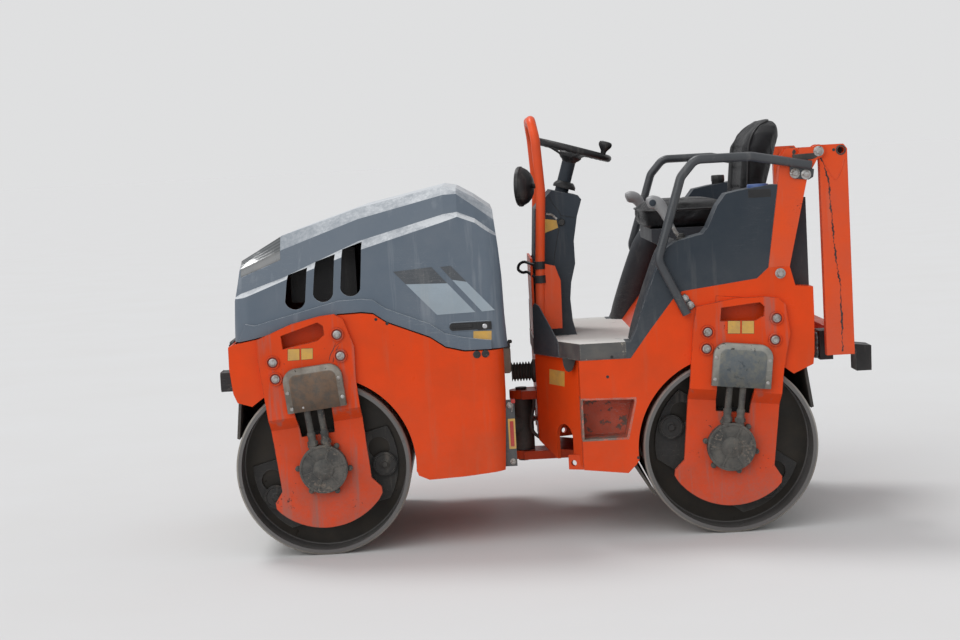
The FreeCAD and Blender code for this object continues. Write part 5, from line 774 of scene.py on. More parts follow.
ends = {
    "front": {
        "hubX": 0.766, "lean": 5.8, "carrierTurn": 14.0, "body": "front_body", "roller": "front_roller",
        "handleBack": ((0.078, 0.404), (0.078, 0.468), (-0.062, 0.494), (-0.084, 0.478), (-0.084, 0.430),
                       (-0.056, 0.414)),
        "screws": ((0.074, 0.270), (0.068, 0.216), (-0.101, 0.296), (-0.103, 0.232), (0.030, 0.216)),
        "plates": (((0.0509, 0.4117), (0.0135, 0.4070), (0.0190, 0.3712), (0.0571, 0.3743)),
                   ((0.0072, 0.4067), (-0.0301, 0.4021), (-0.0245, 0.3678), (0.0128, 0.3708)))},
    "rear": {
        "hubX": -0.584, "lean": -6.5, "carrierTurn": -35.0, "body": "rear_body", "roller": "rear_roller",
        "handleBack": ((-0.100, 0.394), (0.094, 0.394), (0.094, 0.503), (-0.100, 0.503)),
        "screws": ((0.074, 0.296), (0.075, 0.224), (-0.102, 0.296), (-0.100, 0.222)),
        "plates": (((0.0430, 0.4161), (0.0028, 0.4184), (0.0002, 0.3775), (0.0402, 0.3751)),
                   ((-0.0030, 0.4188), (-0.0422, 0.4211), (-0.0451, 0.3801), (-0.0056, 0.3778)))}}
legFit = {
    "bolts": ((0.107, 0.376), (0.107, 0.321), (-0.116, 0.435), (-0.116, 0.364)), "boltY": 0.526, "faceY": 0.522,
    "coverY": 0.521, "screwY": 0.5431, "lugY": 0.501, "lugRadius": 0.086, "hoseApart": 0.022,
    "backY": (0.4610, 0.4650), "aboveY": (0.4990, 0.5062),
    "raised": ((0.0, 0.0002), (0.0222, 0.0002), (0.0222, 0.0020), (0.0205, 0.0030), (0.0185, 0.0030),
               (0.0172, 0.0012), (0.0, 0.0012)),
    # thin ring between bolt and raised ring, coloured as painted shadow in the gap
    "gap": ((0.0, 0.0010), (0.0176, 0.0010), (0.0172, 0.0017), (0.0, 0.0017)),
    # the rear body's side closes above its leg, beside the handle's room
    "above": ((0.0855, 0.4600), (0.0855, 0.4955), (-0.0915, 0.4955), (-0.0915, 0.4935), (-0.0580, 0.4868),
              (0.0680, 0.4608)),
    # three long scratches beside the front leg's rear bolts
    "scratches": (((-0.108, 0.408), (-0.096, 0.388), (-0.084, 0.372), (-0.076, 0.352)),
                  ((-0.116, 0.398), (-0.104, 0.382), (-0.094, 0.362), (-0.088, 0.344)),
                  ((-0.126, 0.409), (-0.112, 0.402), (-0.103, 0.396)))}
tray = {
    "rear": -0.112, "front": 0.084, "low": 0.202, "high": 0.346, "corner": 0.044, "wall": 0.0025,
    # inset and y of each ring, from the leg to the raised middle
    "rings": ((0.0, 0.5222), (0.0, 0.5380), (0.0015, 0.5412), (0.004, 0.5430), (0.018, 0.5434),
              (0.0205, 0.5443), (0.023, 0.5457), (0.026, 0.5460))}
carrier = {"buffers": ((-0.19065, -0.05535), (0.19065, -0.05535)), "faceY": 0.426, "boltRadius": 0.103,
           "boltY": 0.412}
bufferRim = lathe([(0.0385, -0.002), (0.0385, 0.0005), (0.0365, 0.0025), (0.0335, 0.0025), (0.0315, 0.0002),
                   (0.0315, -0.002)], 48)


def leaned(solid, degrees, origin=(0, 0, 0)):
    # X = x0 + u cos + w sin, Z = z0 - u sin + w cos
    c, s = math.cos(math.radians(degrees)), math.sin(math.radians(degrees))
    return placed(solid, origin, across=(c, 0, -s), up=(s, 0, c))


def atSpots(solid, spots, y, step=0.0, along=0.0):
    # the same solid at each X, Z of a side face; its turn grows by a step for each or along X
    return [onSide(solid, x, y, z, step * i + along * x) for i, (x, z) in enumerate(spots)]


def circleSpots(radius, count, start=0.0):
    turns = math.radians(start) + 2 * np.pi * np.arange(count) / count
    return np.stack([radius * np.cos(turns), radius * np.sin(turns)], -1).tolist()


def trayShell():
    # a path up one side, over the top and down the other, inset ring by ring; open below
    s = tray
    a = np.linspace(0, np.pi / 2, 10)
    rows = []
    for inset, y in s["rings"]:
        r = max(s["corner"] - inset, 0.012)
        front, rear, high = s["front"] - inset, s["rear"] + inset, s["high"] - inset - r
        ahead = np.stack([front - r + r * np.cos(a), high + r * np.sin(a)], -1)
        behind = np.stack([rear + r - r * np.sin(a), high + r * np.cos(a)], -1)
        rows.append(np.insert(np.vstack([[(front, s["low"])], ahead, behind, [(rear, s["low"])]]), 1, y, axis=1))
    count, last = len(rows[0]), len(rows) - 1
    faces = gridFaces(len(rows), count, around=False)
    return np.vstack(rows), faces + [[last * count + k for k in range(count)]]


def coverDetail():
    # rings, a domed middle and six ribs on a hub cover
    y = legFit["coverY"]
    rings = lathe([(0.080, -0.001), (0.0795, 0.0012), (0.077, 0.0022), (0.0725, 0.0018), (0.0705, -0.0005),
                   (0.0705, -0.001)], 72)
    middle = lathe([(0.034, -0.001), (0.034, 0.0022), (0.031, 0.0042), (0.022, 0.0050), (0.020, 0.0068),
                    (0.010, 0.0080), (0.0, 0.0082)], 48)
    rib = slab([(-0.0028, 0.030), (0.0028, 0.030), (0.0024, 0.072), (-0.0024, 0.072)], -0.001, 0.0022)
    return [onSide(rings, 0, y, 0), onSide(middle, 0, y, 0),
            *(leaned(rib, 60 * k + 38, (0, y, 0)) for k in range(6))]


def ferrules():
    # crimped sleeves and nuts where the hoses leave the hub motor
    w = np.array([0.066, 0.070, 0.078, 0.080, 0.090, 0.092, 0.100, 0.102, 0.112, 0.114, 0.124, 0.128])
    r = [0.0125, 0.0150, 0.0150, 0.0132, 0.0132, 0.0142, 0.0142, 0.0130, 0.0130, 0.0140, 0.0140, 0.0118]
    nut = lathe([(0, 0), (0.0178, 0), (0.0178, 0.013), (0, 0.013)], 6)
    parts = []
    for u in (-legFit["hoseApart"], legFit["hoseApart"]):
        path = np.stack([0 * w + u, 0.5092 + (w - 0.06) * 0.03, w], -1)
        parts += [tube(path, r, 20, up=(0, 1, 0)), placed(nut, (u, 0.5100, 0.084))]
    return parts


def onLeg(end, label, solids, paint, slot=None, body="body", degrees=None, **looks):
    # solids given as u, y, w about the axle, turned by the leg's lean or another angle
    s = ends[end]
    turn = s["lean"] if degrees is None else degrees
    solids = [leaned(solid, turn, (s["hubX"], 0, axleZ)) for solid in solids]
    return makePiece(end + label, solids, paint, s[body], slot, **looks)


for end, s in ends.items():
    boltY, faceY, spots = legFit["boltY"], legFit["faceY"], legFit["bolts"]
    onLeg(end, "LegBolts", atSpots(hexBolt(0.0130, 0.0100, 0.0070), spots, boltY, 0.4), "boltSteel")
    onLeg(end, "BoltRings", atSpots(lathe(legFit["raised"], 40), spots, boltY), "legPaint")
    # painted shadow in the gap round each bolt
    onLeg(end, "BoltGapShades", atSpots(lathe(legFit["gap"], 40), spots, boltY), "boltGapShade")
    onLeg(end, "HandleBacks", [slab(s["handleBack"], *legFit["backY"])], "orangePaint")
    shell = onLeg(end, "Shields", [trayShell()], end + "Shield", smooth=50.0)
    walls = shell.modifiers.new("wall", "SOLIDIFY")
    walls.thickness = tray["wall"]
    walls.offset = -1.0
    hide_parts(end + "_shields")
    screw = hexBolt(0.0062, 0.0042, 0.0030, 0.0012)
    onLeg(end, "ShieldScrews", atSpots(screw, s["screws"], legFit["screwY"], 1.0), "boltSteel")
    onLeg(end, "HubCovers", coverDetail(), "hubIron")
    lug, round6 = hexBolt(0.0078, 0.0062, 0.0050, 0.0014), circleSpots(legFit["lugRadius"], 6, 8.0)
    onLeg(end, "HubBolts", atSpots(lug, round6, legFit["lugY"], 1.0), "hubIron", "black_steel")
    onLeg(end, "HoseFerrules", ferrules(), "hubIron")
    plates = [np.array(corners) for corners in s["plates"]]
    wider = [corners.mean(0) + (corners - corners.mean(0)) * 1.045 for corners in plates]
    onLeg(end, "SignBorders", [flatOn(corners, faceY, 0.0003) for corners in wider], "blackPlastic", "hood_paint")
    onLeg(end, "Signs", [slab(corners, faceY, faceY + 0.0006) for corners in plates], "yellowPlate")
    caps = []
    for spot in carrier["buffers"]:
        caps += atSpots(bufferRim, [spot], carrier["faceY"])
        caps += atSpots(hexBolt(0.0165, 0.0115, 0.0085, 0.0025), [spot], carrier["faceY"], along=1.0)
    onLeg(end, "BufferCaps", caps, "carrierSteel", body="roller", degrees=s["carrierTurn"])
    rivets = atSpots(hexBolt(0.0085, 0.0062, 0.0045, 0.0012), circleSpots(carrier["boltRadius"], 16),
                     carrier["boltY"], math.pi / 8)
    onLeg(end, "CarrierBolts", rivets, "carrierSteel", body="roller", degrees=0.0)
onLeg("rear", "LegBacks", [slab(legFit["above"], *legFit["aboveY"])], "orangePaint")


def scratch(points):
    # strip along the points whose width swells in its middle
    path = sideCurve(points, 0.0, 24)[:, ::2]
    width = 0.0013 * np.sin(np.pi * np.linspace(0.04, 0.96, 24)) ** 0.6
    width = np.stack([width, 0 * width], -1)
    return flatOn(np.vstack([path + width, (path - width)[::-1]]), legFit["faceY"], 0.0003)


strips = [leaned(scratch(line), ends["front"]["lean"], (ends["front"]["hubX"], 0, axleZ))
          for line in legFit["scratches"]]
makePiece("legScratches", strips, "blackPlastic", "front_body", "orange_paint", both=False)
print("leg and drum fittings made")


# Hood: plain stripes, latch, blank plate, plugs

hoodFit = {
    "sideY": 0.490, "lipY": 0.507, "headY": 0.4904, "headShares": (0.36, 0.288),
    "stripes": (((0.5003, 0.9278), (0.3738, 0.9367), (0.2375, 0.7807), (0.3638, 0.7782)),
                ((0.3456, 0.9351), (0.3108, 0.9376), (0.1730, 0.7835), (0.2154, 0.7814))),
    "latch": (0.2570, 0.7352), "latchHalf": (0.0715, 0.0160), "cupHalf": (0.0685, 0.0130),
    "sign": ((0.2474, 0.7179), (0.1874, 0.7159), (0.1890, 0.6862), (0.2489, 0.6875)),
    "key": (0.2087, 0.7330), "plugs": ((0.2401, 0.6418), (0.2117, 0.6428)),
    "holes": ((0.5651, 0.7754), (0.5295, 0.7596))}
s = hoodFit
y = s["sideY"]
stripes = [flatOn(points, y, 0.0006) for points in s["stripes"]]
makePiece("hoodStripes", stripes, "stripePaint", "engine_hood")
rim = roundedBox(s["latchHalf"], 0.0155, s["latch"], 8)
makePiece("latchFrames", [flatOn(rim, y, 0.0022)], "hoodPaint", "engine_hood", bevel=0.001)
cup = roundedBox(s["cupHalf"], 0.0125, s["latch"], 8)
makePiece("latchCups", [flatOn(cup, y, 0.0026)], "blackPlastic", "engine_hood")
lock = flatOn(roundedBox((0.0235, 0.0135), 0.003, (0.2100, 0.7345), 4), y, 0.0050)
bar = flatOn(roundedBox((0.036, 0.0062), 0.006, (0.2840, 0.7370), 6), y, 0.0046)
makePiece("latchHandles", [lock, bar], "blackPlastic", "engine_hood", bevel=0.0012)
keyRing = lathe([(0.0, 0.0), (0.0078, 0.0), (0.0078, 0.0022), (0.0066, 0.0030), (0.0030, 0.0026), (0.0, 0.0020)], 28)
makePiece("latchKeys", atSpots(keyRing, [s["key"]], y + 0.0050), "chrome", "engine_hood")
makePiece("hoodSigns", [flatOn(s["sign"], y, 0.0006)], "yellowPlate", "engine_hood")
plug = lathe([(0.0, 0.0), (0.0128, 0.0), (0.0122, 0.0018), (0.0085, 0.0026), (0.0, 0.0028)], 28)
# flat black dot drawn where a hole is: painted shade of the hole
holeShadeDot = lathe([(0.0, 0.0), (0.0052, 0.0), (0.0048, 0.0006), (0.0, 0.0008)], 16)
plugs = atSpots(plug, s["plugs"], s["lipY"]) + atSpots(holeShadeDot, s["holes"], s["lipY"])
makePiece("bodyPlugsAndHoleShades", plugs, "blackPlastic", "front_body")


# Nose and the front body's rear end

nose = {"grille": (0.0, 0.674), "grilleHalf": (0.355, 0.040), "faceX": 1.0560, "lamp": (0.430, 0.5915)}
panel = onNose(roundedBox(nose["grilleHalf"], 0.012, nose["grille"]), nose["faceX"], 0.0140)
louvres = [onNose(roundedBox((0.335, 0.0045), 0.004, (0.0, 0.650 + 0.016 * k), 3), nose["faceX"] + 0.0138, 0.0055)
           for k in range(4)]
makePiece("noseGrille", [panel, *louvres], "blackPlastic", "front_body", bevel=0.0015, both=False)
bezel = onNose(roundedBox((0.046, 0.033), 0.008, nose["lamp"]), 1.0885, 0.0030)
makePiece("noseLampBezels", [bezel], "blackPlastic", "front_body", bevel=0.001)
lampLens = onNose(roundedBox((0.040, 0.027), 0.006, nose["lamp"]), 1.0905, 0.0026)
makePiece("noseLampLenses", [lampLens], "lens", "front_body", bevel=0.001)
box = slab(roundedBox((0.0155, 0.0455), 0.010, (0.1385, 0.577)), 0.075, 0.135)
makePiece("beigeBox", [box], "beigeFitting", "front_body", bevel=0.004, both=False)
flange = slab(roundedBox((0.0155, 0.009), 0.006, (0.1385, 0.629)), 0.072, 0.138)
neck = slab(roundedBox((0.008, 0.006), 0.005, (0.1235, 0.640)), 0.098, 0.112)
makePiece("fittingFlange", [flange, neck], "hubIron", "front_body", "black_steel", bevel=0.002, both=False)

lockBar = {"y": 0.465, "middle": (0.1375, 0.3665), "signHalf": (0.0118, 0.0505), "stripHalf": (0.0062, 0.0425),
           "pins": ((0.1385, 0.2735), (0.1395, 0.4620)),
           "clip": ((0.1450, 0.466, 0.4560), (0.1500, 0.475, 0.4640), (0.1440, 0.480, 0.4730),
                    (0.1340, 0.476, 0.4660), (0.1330, 0.470, 0.4520), (0.1350, 0.467, 0.4400))}
s = lockBar
sign = flatOn(roundedBox(s["signHalf"], 0.002, s["middle"]), s["y"], 0.0008)
makePiece("lockBarSign", [sign], "yellowPlate", "front_body", both=False)
strip = flatOn(roundedBox(s["stripHalf"], 0.0015, s["middle"]), s["y"], 0.0013)
makePiece("lockBarStrip", [strip], "redPlastic", "front_body", both=False)
pins = atSpots(hexBolt(0.0100, 0.0068, 0.0055), s["pins"], s["y"])
makePiece("lockBarPins", pins, "boltSteel", "front_body", both=False)
makePiece("lockBarClip", [tube(smoothPath(s["clip"], 40), 0.0014, 8)], "boltSteel", "front_body", both=False)
tab = slab(roundedBox((0.007, 0.006), 0.003, (0.1290, 0.4745)), 0.440, 0.468)
makePiece("lockBarTab", [tab], "redPlastic", "front_body", bevel=0.001, both=False)
near, far = hoodFit["headShares"]
heads = [flatOn((a, b, b + (c - b) * near, a + (d - a) * far), hoodFit["headY"], 0.0006)
         for a, b, c, d in np.array(hoodFit["stripes"])]
makePiece("hoodStripeHeads", heads, "stripeDark", "engine_hood")
print("hood and nose details made")


# Between the bodies: a corrugated sleeve over the hoses and one thin hose

sleeve = {"rear": 0.040, "front": 0.1222, "spot": (0.040, 0.105, 0.5325), "radius": 0.0300, "depth": 0.0045,
          "folds": 8, "held": 0.012}
thinHose = {"diameter": 0.012,
            "points": ((0.0480, 0.062, 0.4270), (0.0485, 0.062, 0.4080), (0.0560, 0.064, 0.3780),
                       (0.0630, 0.066, 0.3460), (0.0600, 0.068, 0.3150), (0.0430, 0.070, 0.2960),
                       (0.0300, 0.070, 0.2880))}


def corrugated():
    # r(x) = radius + depth * cos(2 pi folds x), closed at both ends
    s = sleeve
    t = np.linspace(0, 1, 8 * s["folds"] + 1)
    radius = s["radius"] + s["depth"] * np.cos(2 * np.pi * s["folds"] * t)
    height = np.concatenate([[0], t, [1]]) * (s["front"] - s["rear"])
    radius = np.concatenate([[0], radius, [0]])
    return placed(lathe(np.stack([radius, height], -1), 36), s["spot"], **forward)


def roundHose(name, points, diameter):
    # NURBS line through the control points with a round section
    data = bpy.data.curves.new(name, "CURVE")
    data.dimensions = "3D"
    data.bevel_depth = diameter / 2
    data.bevel_resolution = 5
    data.resolution_u = 12
    data.use_fill_caps = True
    line = data.splines.new("NURBS")
    line.points.add(len(points) - 1)
    for spot, point in zip(line.points, points):
        spot.co = (*point, 1.0)
    line.order_u = 3
    line.use_endpoint_u = True
    data.materials.append(paints["hoseRubber"])
    thing = bpy.data.objects.new(name, data)
    scene.collection.objects.link(thing)
    return thing


bellows = makePiece("hoseSleeve", [corrugated()], "hoseRubber", None, smooth=80.0, both=False)
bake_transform(bellows)
collar = lathe([(0.0, -0.004), (0.0405, -0.004), (0.0405, 0.008), (0.0370, 0.010), (0.0, 0.010)], 36)
makePiece("sleeveCollar", [placed(collar, sleeve["spot"], **forward)], "blackSteel", "rear_body", both=False)
hose = roundHose("thinHose", thinHose["points"], thinHose["diameter"])
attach(hose, "rear_body")
print("joint details made")


# Rear body: splash guards on the slanted deck edge, blank plate, brackets, and black dots of painted shade at holes

deckEdge = ((0.044, 0.195), (-0.100, 0.500))
facet = ((0.040, 0.195), (-0.094, 0.420))
guard = {"wall": (-0.0015, 0.0020),
         "outline": ((0.004, 0.6035), (0.010, 0.7600), (0.016, 0.7720), (0.026, 0.7790), (0.058, 0.7700),
                     (0.178, 0.6640), (0.186, 0.6500), (0.188, 0.6035))}


def onEdge(outline, edge, low, high):
    # distance along a slanted edge seen from above, and height; low to high goes outward
    start, finish = np.array(edge)
    along = (finish - start) / np.linalg.norm(finish - start)
    return placed(slab(outline, low, high), (*start, 0.0), across=(*along, 0), along=(along[1], -along[0], 0))


guards = makePiece("splashGuardPlates", [onEdge(guard["outline"], deckEdge, *guard["wall"])], "consolePlastic",
                   "rear_body", bevel=0.0018)
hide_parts("splash_guards")
# corners read as X, Z in the side view: distance along the facet = way back * facet's length / its X
(foot, across), (tip, outward) = facet
stretch = math.hypot(foot - tip, outward - across) / (foot - tip)
corners = [((foot - x) * stretch, z)
           for x, z in ((-0.0049, 0.5540), (-0.0525, 0.5514), (-0.0499, 0.5001), (-0.0023, 0.5027))]
makePiece("facetSigns", [onEdge(corners, facet, -0.0003, 0.0007)], "yellowPlate", "rear_body")
bracket = [(-0.0436, 0.6060), (-0.0889, 0.6060), (-0.0830, 0.5800), (-0.0745, 0.5615), (-0.0640, 0.5570),
           (-0.0530, 0.5620), (-0.0465, 0.5800)]
web = [(-0.0690, 0.6060), (-0.0610, 0.6060), (-0.0620, 0.5620), (-0.0670, 0.5620)]
makePiece("deckBrackets", [slab(bracket, 0.4150, 0.4210), slab(web, 0.3850, 0.4200)], "blackSteel", "rear_body",
          bevel=0.0012)
# flat black dots where holes are: painted shade of the holes
holes = [onSide(holeShadeDot, *spot) for spot in ((-0.2040, 0.5000, 0.6083), (-0.1860, 0.5070, 0.5440),
                                         (-0.2750, 0.5070, 0.2700))]
makePiece("sideHoleShades", holes, "blackPlastic", "rear_body")
hook = smoothPath([(0.0160, 0.205, 0.9060), (0.0400, 0.186, 0.9130), (0.0600, 0.150, 0.9180),
                   (0.0760, 0.118, 0.9080), (0.0800, 0.108, 0.8900), (0.0660, 0.122, 0.8800),
                   (0.0500, 0.150, 0.8820), (0.0330, 0.185, 0.8700), (0.0140, 0.205, 0.8600)], 64)
makePiece("hoopHook", [tube(hook, 0.0050, 12, up=(0, 1, 0))], "blackPlastic", "rear_body", both=False)
clamp = hollowRing([(0.0165, 0.0), (0.0195, 0.0), (0.0195, 0.026), (0.0165, 0.026)], 32)
makePiece("hoopClamps", [placed(clamp, (0.0090, 0.208, z)) for z in (0.846, 0.894)], "blackPlastic", "rear_body")
# round covers on the inner faces of the side consoles, from the deck up to the seat
cover = {"y": 0.414, "radius": 0.053, "shares": (1.04, 1.02, 1.0, 0.97, 0.80, 0.30),
         "path": ((-0.3200, 0.6480), (-0.3330, 0.7000), (-0.3680, 0.8020), (-0.4120, 0.9180), (-0.4330, 0.9620),
                  (-0.4420, 0.9760))}
radii = cover["radius"] * np.interp(np.linspace(0, 5, 48), range(6), cover["shares"])
makePiece("consoleLegCovers", [sideTube(cover["path"], cover["y"], 48, radii, 40)], "tankPlastic", "rear_body",
          smooth=60.0)
print("rear body details made")


# Steering console, wheel and work lamp

console = {
    "y": 0.150, "collar": (-0.097912, 0.0, 1.162), "knob": (-0.0765, 1.0480),
    "seam": ((-0.0380, 1.1420), (-0.0520, 1.1100), (-0.0752, 1.0716), (-0.0640, 1.0150), (-0.0520, 0.9600),
             (-0.0420, 0.9000), (-0.0400, 0.8200), (-0.0450, 0.7200)),
    "across": ((-0.0752, 1.0716), (-0.1000, 1.0660), (-0.1240, 1.0620)),
    "arc": ((-0.0243, 1.0795), (-0.0440, 1.0750), (-0.0611, 1.0600)),
    "sign": ((-0.0180, 1.0624), (-0.0600, 1.0560), (-0.0640, 1.0300), (-0.0175, 1.0141))}
wheel = {"middle": (-0.133, 0.0, 1.296), "lean": -17.0, "radius": 0.131, "grip": 0.0120, "spokeStart": 0.018,
         "spokeFoot": 0.020, "spokeTip": 0.010, "spokeHalf": 0.004, "knob": (-0.1048, 0.0786, 0.0)}
s = console
seam = sideTube(s["seam"], s["y"], 60, 0.0011, 6)
across = tube([(x, s["y"], z) for x, z in s["across"]], 0.0011, 6, up=(0, 1, 0))
makePiece("consoleSeams", [seam, across], "blackPlastic", "rear_body", "console_plastic")
makePiece("consoleArc", [sideTube(s["arc"], s["y"], 24, 0.0042, 10)], "boltSteel", "rear_body")
makePiece("consoleSign", [flatOn(s["sign"], s["y"], 0.0006)], "yellowPlate", "rear_body")
knob = lathe([(0.0, 0.0), (0.0125, 0.0), (0.0120, 0.006), (0.0100, 0.0085), (0.0, 0.0090)], 28)
makePiece("consoleKnob", atSpots(knob, [s["knob"]], s["y"]), "blackPlastic", "rear_body")
collar = lathe([(0.0, 0.0), (0.040, 0.0), (0.040, 0.010), (0.034, 0.018), (0.028, 0.024), (0.0, 0.024)], 36)
makePiece("columnCollar", [leaned(collar, wheel["lean"], s["collar"])], "blackPlastic", "rear_body", both=False)


def wheelRim():
    # circle of the grip carried round the rim, with shallow finger waves below
    s = wheel
    a = np.linspace(0, 2 * np.pi, 120, endpoint=False)[:, None]
    b = np.linspace(0, 2 * np.pi, 20, endpoint=False)
    grip = s["grip"] + 0.0006 * np.sin(36 * a) * np.clip(-np.sin(b), 0, 1)
    r = s["radius"] + grip * np.cos(b)
    points = np.stack([r * np.cos(a), r * np.sin(a), grip * np.sin(b)], -1).reshape(-1, 3)
    return points, [[k % len(points) for k in face] for face in gridFaces(121, 20)]


def wheelSpoke(turn):
    # flat tapered blade from the hub up to the rim
    s = wheel
    t = np.linspace(0, 1, 12)
    reach = s["spokeStart"] + t * (s["radius"] - s["spokeStart"])
    drop = -0.030 * (1 - t) ** 1.6
    half = s["spokeFoot"] + (s["spokeTip"] - s["spokeFoot"]) * np.sin(t * np.pi / 2)
    c, n = math.cos(turn), math.sin(turn)
    rows = [np.stack([reach * c - side * half * n, reach * n + side * half * c, drop + level * s["spokeHalf"]], -1)
            for side, level in ((-1, 1), (1, 1), (1, -1), (-1, -1))]
    return np.stack(rows, 1).reshape(-1, 3), gridFaces(12, 4) + [[3, 2, 1, 0], [44, 45, 46, 47]]


hub = lathe([(0.0, -0.046), (0.024, -0.046), (0.026, -0.040), (0.034, -0.034), (0.040, -0.026), (0.040, -0.016),
             (0.034, -0.008), (0.020, -0.004), (0.0, -0.003)], 40)
knob = lathe([(0.0, 0.004), (0.0085, 0.006), (0.0100, 0.020), (0.0150, 0.027), (0.0225, 0.038), (0.0235, 0.046),
              (0.0205, 0.0525), (0.012, 0.0545), (0.0, 0.0545)], 32)
wheelParts = [wheelRim(), hub, placed(knob, wheel["knob"])] + [wheelSpoke(math.radians(120 * k)) for k in range(3)]
wheelPiece = makePiece("handWheel", [leaned(solid, wheel["lean"], wheel["middle"]) for solid in wheelParts],
                       "blackPlastic", "hand_wheel", bevel=0.0012, smooth=50.0, both=False)
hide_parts("steering_wheel")

lampPlace = {"origin": (0.014, 0.126, 1.178), "across": (0.259, 0.966, 0), "along": (0, 0, 1),
             "up": (0.966, -0.259, 0)}
bowl = lathe([(0.0, 0.0), (0.018, 0.0), (0.032, 0.003), (0.046, 0.010), (0.057, 0.020), (0.064, 0.032),
              (0.0672, 0.044), (0.068, 0.050), (0.0665, 0.0536), (0.063, 0.0540), (0.0605, 0.0525),
              (0.060, 0.047), (0.0, 0.047)], 56)
lampRim = hollowRing([(0.0655, 0.040), (0.0695, 0.040), (0.0700, 0.046), (0.0690, 0.0505), (0.0655, 0.0510)], 56)
glass = lathe([(0.0, 0.0520), (0.020, 0.0515), (0.040, 0.0500), (0.0598, 0.0478), (0.0598, 0.0470),
               (0.0, 0.0470)], 56)
arm = tube([(0.024, 0.128, 1.178), (0.010, 0.150, 1.178), (0.004, 0.175, 1.178), (0.003, 0.196, 1.178)],
           0.0085, 14)
lampPiece = makePiece("lampBowl", [placed(bowl, **lampPlace), placed(lampRim, **lampPlace), arm], "blackPlastic",
                      "rear_body", smooth=50.0, both=False)
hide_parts("work_lamp")
makePiece("lampGlass", [placed(glass, **lampPlace)], "lens", "rear_body", both=False)
print("console, wheel and lamp made")


# Levers, caps and rails

lever = {
    "y": 0.430, "radii": (0.0190, 0.0225, 0.0215, 0.0180, 0.0135, 0.0085), "tip": (0.55, 0.80, 0.93, 1.0),
    "grip": ((-0.3500, 1.1020), (-0.3680, 1.1080), (-0.3880, 1.1000), (-0.4040, 1.0760), (-0.4160, 1.0460),
             (-0.4290, 1.0220)),
    "stick": ((-0.4300, 1.0260), (-0.4400, 1.0050), (-0.4520, 0.9860), (-0.4600, 0.9640)),
    "boot": (-0.458, 0.430, 0.9600), "button": (-0.3660, 1.1060)}
caps = {"blue": (-0.712, 0.4680, 1.110), "black": (-0.700, -0.450, 1.118), "recess": (-0.7120, 1.1200),
        "recessY": 0.505, "ribs": 24}
rail = {
    "face": 0.507, "plate": 0.513, "shoulder": (-0.7690, 0.507, 0.8545),
    "low": ((-0.4300, 0.7890), (-0.4530, 0.8060), (-0.4860, 0.7620), (-0.4640, 0.7450)),
    "top": ((-0.8130, 1.2080), (-0.8930, 1.1900), (-0.8890, 1.1640), (-0.8740, 1.1560), (-0.8240, 1.1620),
            (-0.8130, 1.1720)),
    "lowBolts": ((-0.4520, 0.7900), (-0.4690, 0.7670)), "topBolts": ((-0.8290, 1.1790), (-0.8650, 1.1735))}
s = lever
radii = np.interp(np.linspace(0, 5, 40), range(6), s["radii"])
radii[:4] *= s["tip"]
grips = makePiece("leverGrips", [sideTube(s["grip"], s["y"], 40, radii, 24)], "gripPlastic", "rear_body",
                  smooth=60.0)
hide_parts("travel_levers")
makePiece("leverSticks", [sideTube(s["stick"], s["y"], 20, 0.0065, 14)], "boltSteel", "rear_body")
boot = lathe([(0.0, 0.0), (0.0240, 0.0), (0.0240, 0.006), (0.0205, 0.009), (0.0215, 0.014), (0.0165, 0.018),
              (0.0175, 0.023), (0.0125, 0.028), (0.0130, 0.032), (0.0085, 0.040), (0.0, 0.040)], 32)
makePiece("leverBoots", [placed(boot, s["boot"])], "hoseRubber", "rear_body")
button = lathe([(0.0, 0.0), (0.0115, 0.0), (0.0115, 0.002), (0.009, 0.0035), (0.0, 0.0038)], 24)
makePiece("leverButtons", atSpots(button, [s["button"]], s["y"] + 0.0215), "consolePlastic", "rear_body",
          "black_plastic")
cap = lathe([(0.0, 0.0), (0.0345, 0.0), (0.0345, 0.022), (0.0355, 0.024), (0.0355, 0.036), (0.033, 0.040),
             (0.0, 0.041)], 40)
rib = slab([(-0.002, 0.003), (0.002, 0.003), (0.002, 0.021), (-0.002, 0.021)], 0.0340, 0.0362)
parts = [placed(cap, caps["blue"])]
for k in range(caps["ribs"]):
    turn = 2 * math.pi * k / caps["ribs"]
    c, n = math.cos(turn), math.sin(turn)
    parts.append(placed(rib, caps["blue"], across=(c, n, 0), along=(-n, c, 0)))
makePiece("blueCap", parts, "bluePlastic", "rear_body", bevel=0.0008, both=False)
# flat black sheet where the recess is: painted shade of the recess
recess = flatOn(roundedBox((0.0375, 0.0135), 0.003, caps["recess"]), caps["recessY"], 0.0005)
makePiece("capRecessShade", [recess], "blackPlastic", "rear_body", both=False)
cap = lathe([(0.0, 0.0), (0.0235, 0.0), (0.0235, 0.030), (0.0250, 0.032), (0.0250, 0.050), (0.0225, 0.054),
             (0.0, 0.055)], 32)
makePiece("blackCap", [placed(cap, caps["black"])], "blackPlastic", "rear_body", both=False)

s = rail
plates = [slab(s[key], s["face"] - 0.0004, s["plate"]) for key in ("low", "top")]
makePiece("railPlates", plates, "railPaint", "rear_body", bevel=0.002)
for name, key, bolt in (("railTopBolts", "topBolts", hexBolt(0.0165, 0.0098, 0.0080, 0.0032)),
                        ("railLowBolts", "lowBolts", hexBolt(0.0120, 0.0085, 0.0070, 0.0022))):
    makePiece(name, atSpots(bolt, s[key], s["plate"], along=40.0), "boltSteel", "rear_body")
shoulder = onSide(hexBolt(0.0170, 0.0125, 0.0090, 0.0030), *s["shoulder"], 0.5)
makePiece("shoulderBolts", [shoulder], "boltSteel", "rear_body")
print("levers, caps and rails made")


# Folding frame: hinge bolts, weld lines, the long chipped line and the lamps

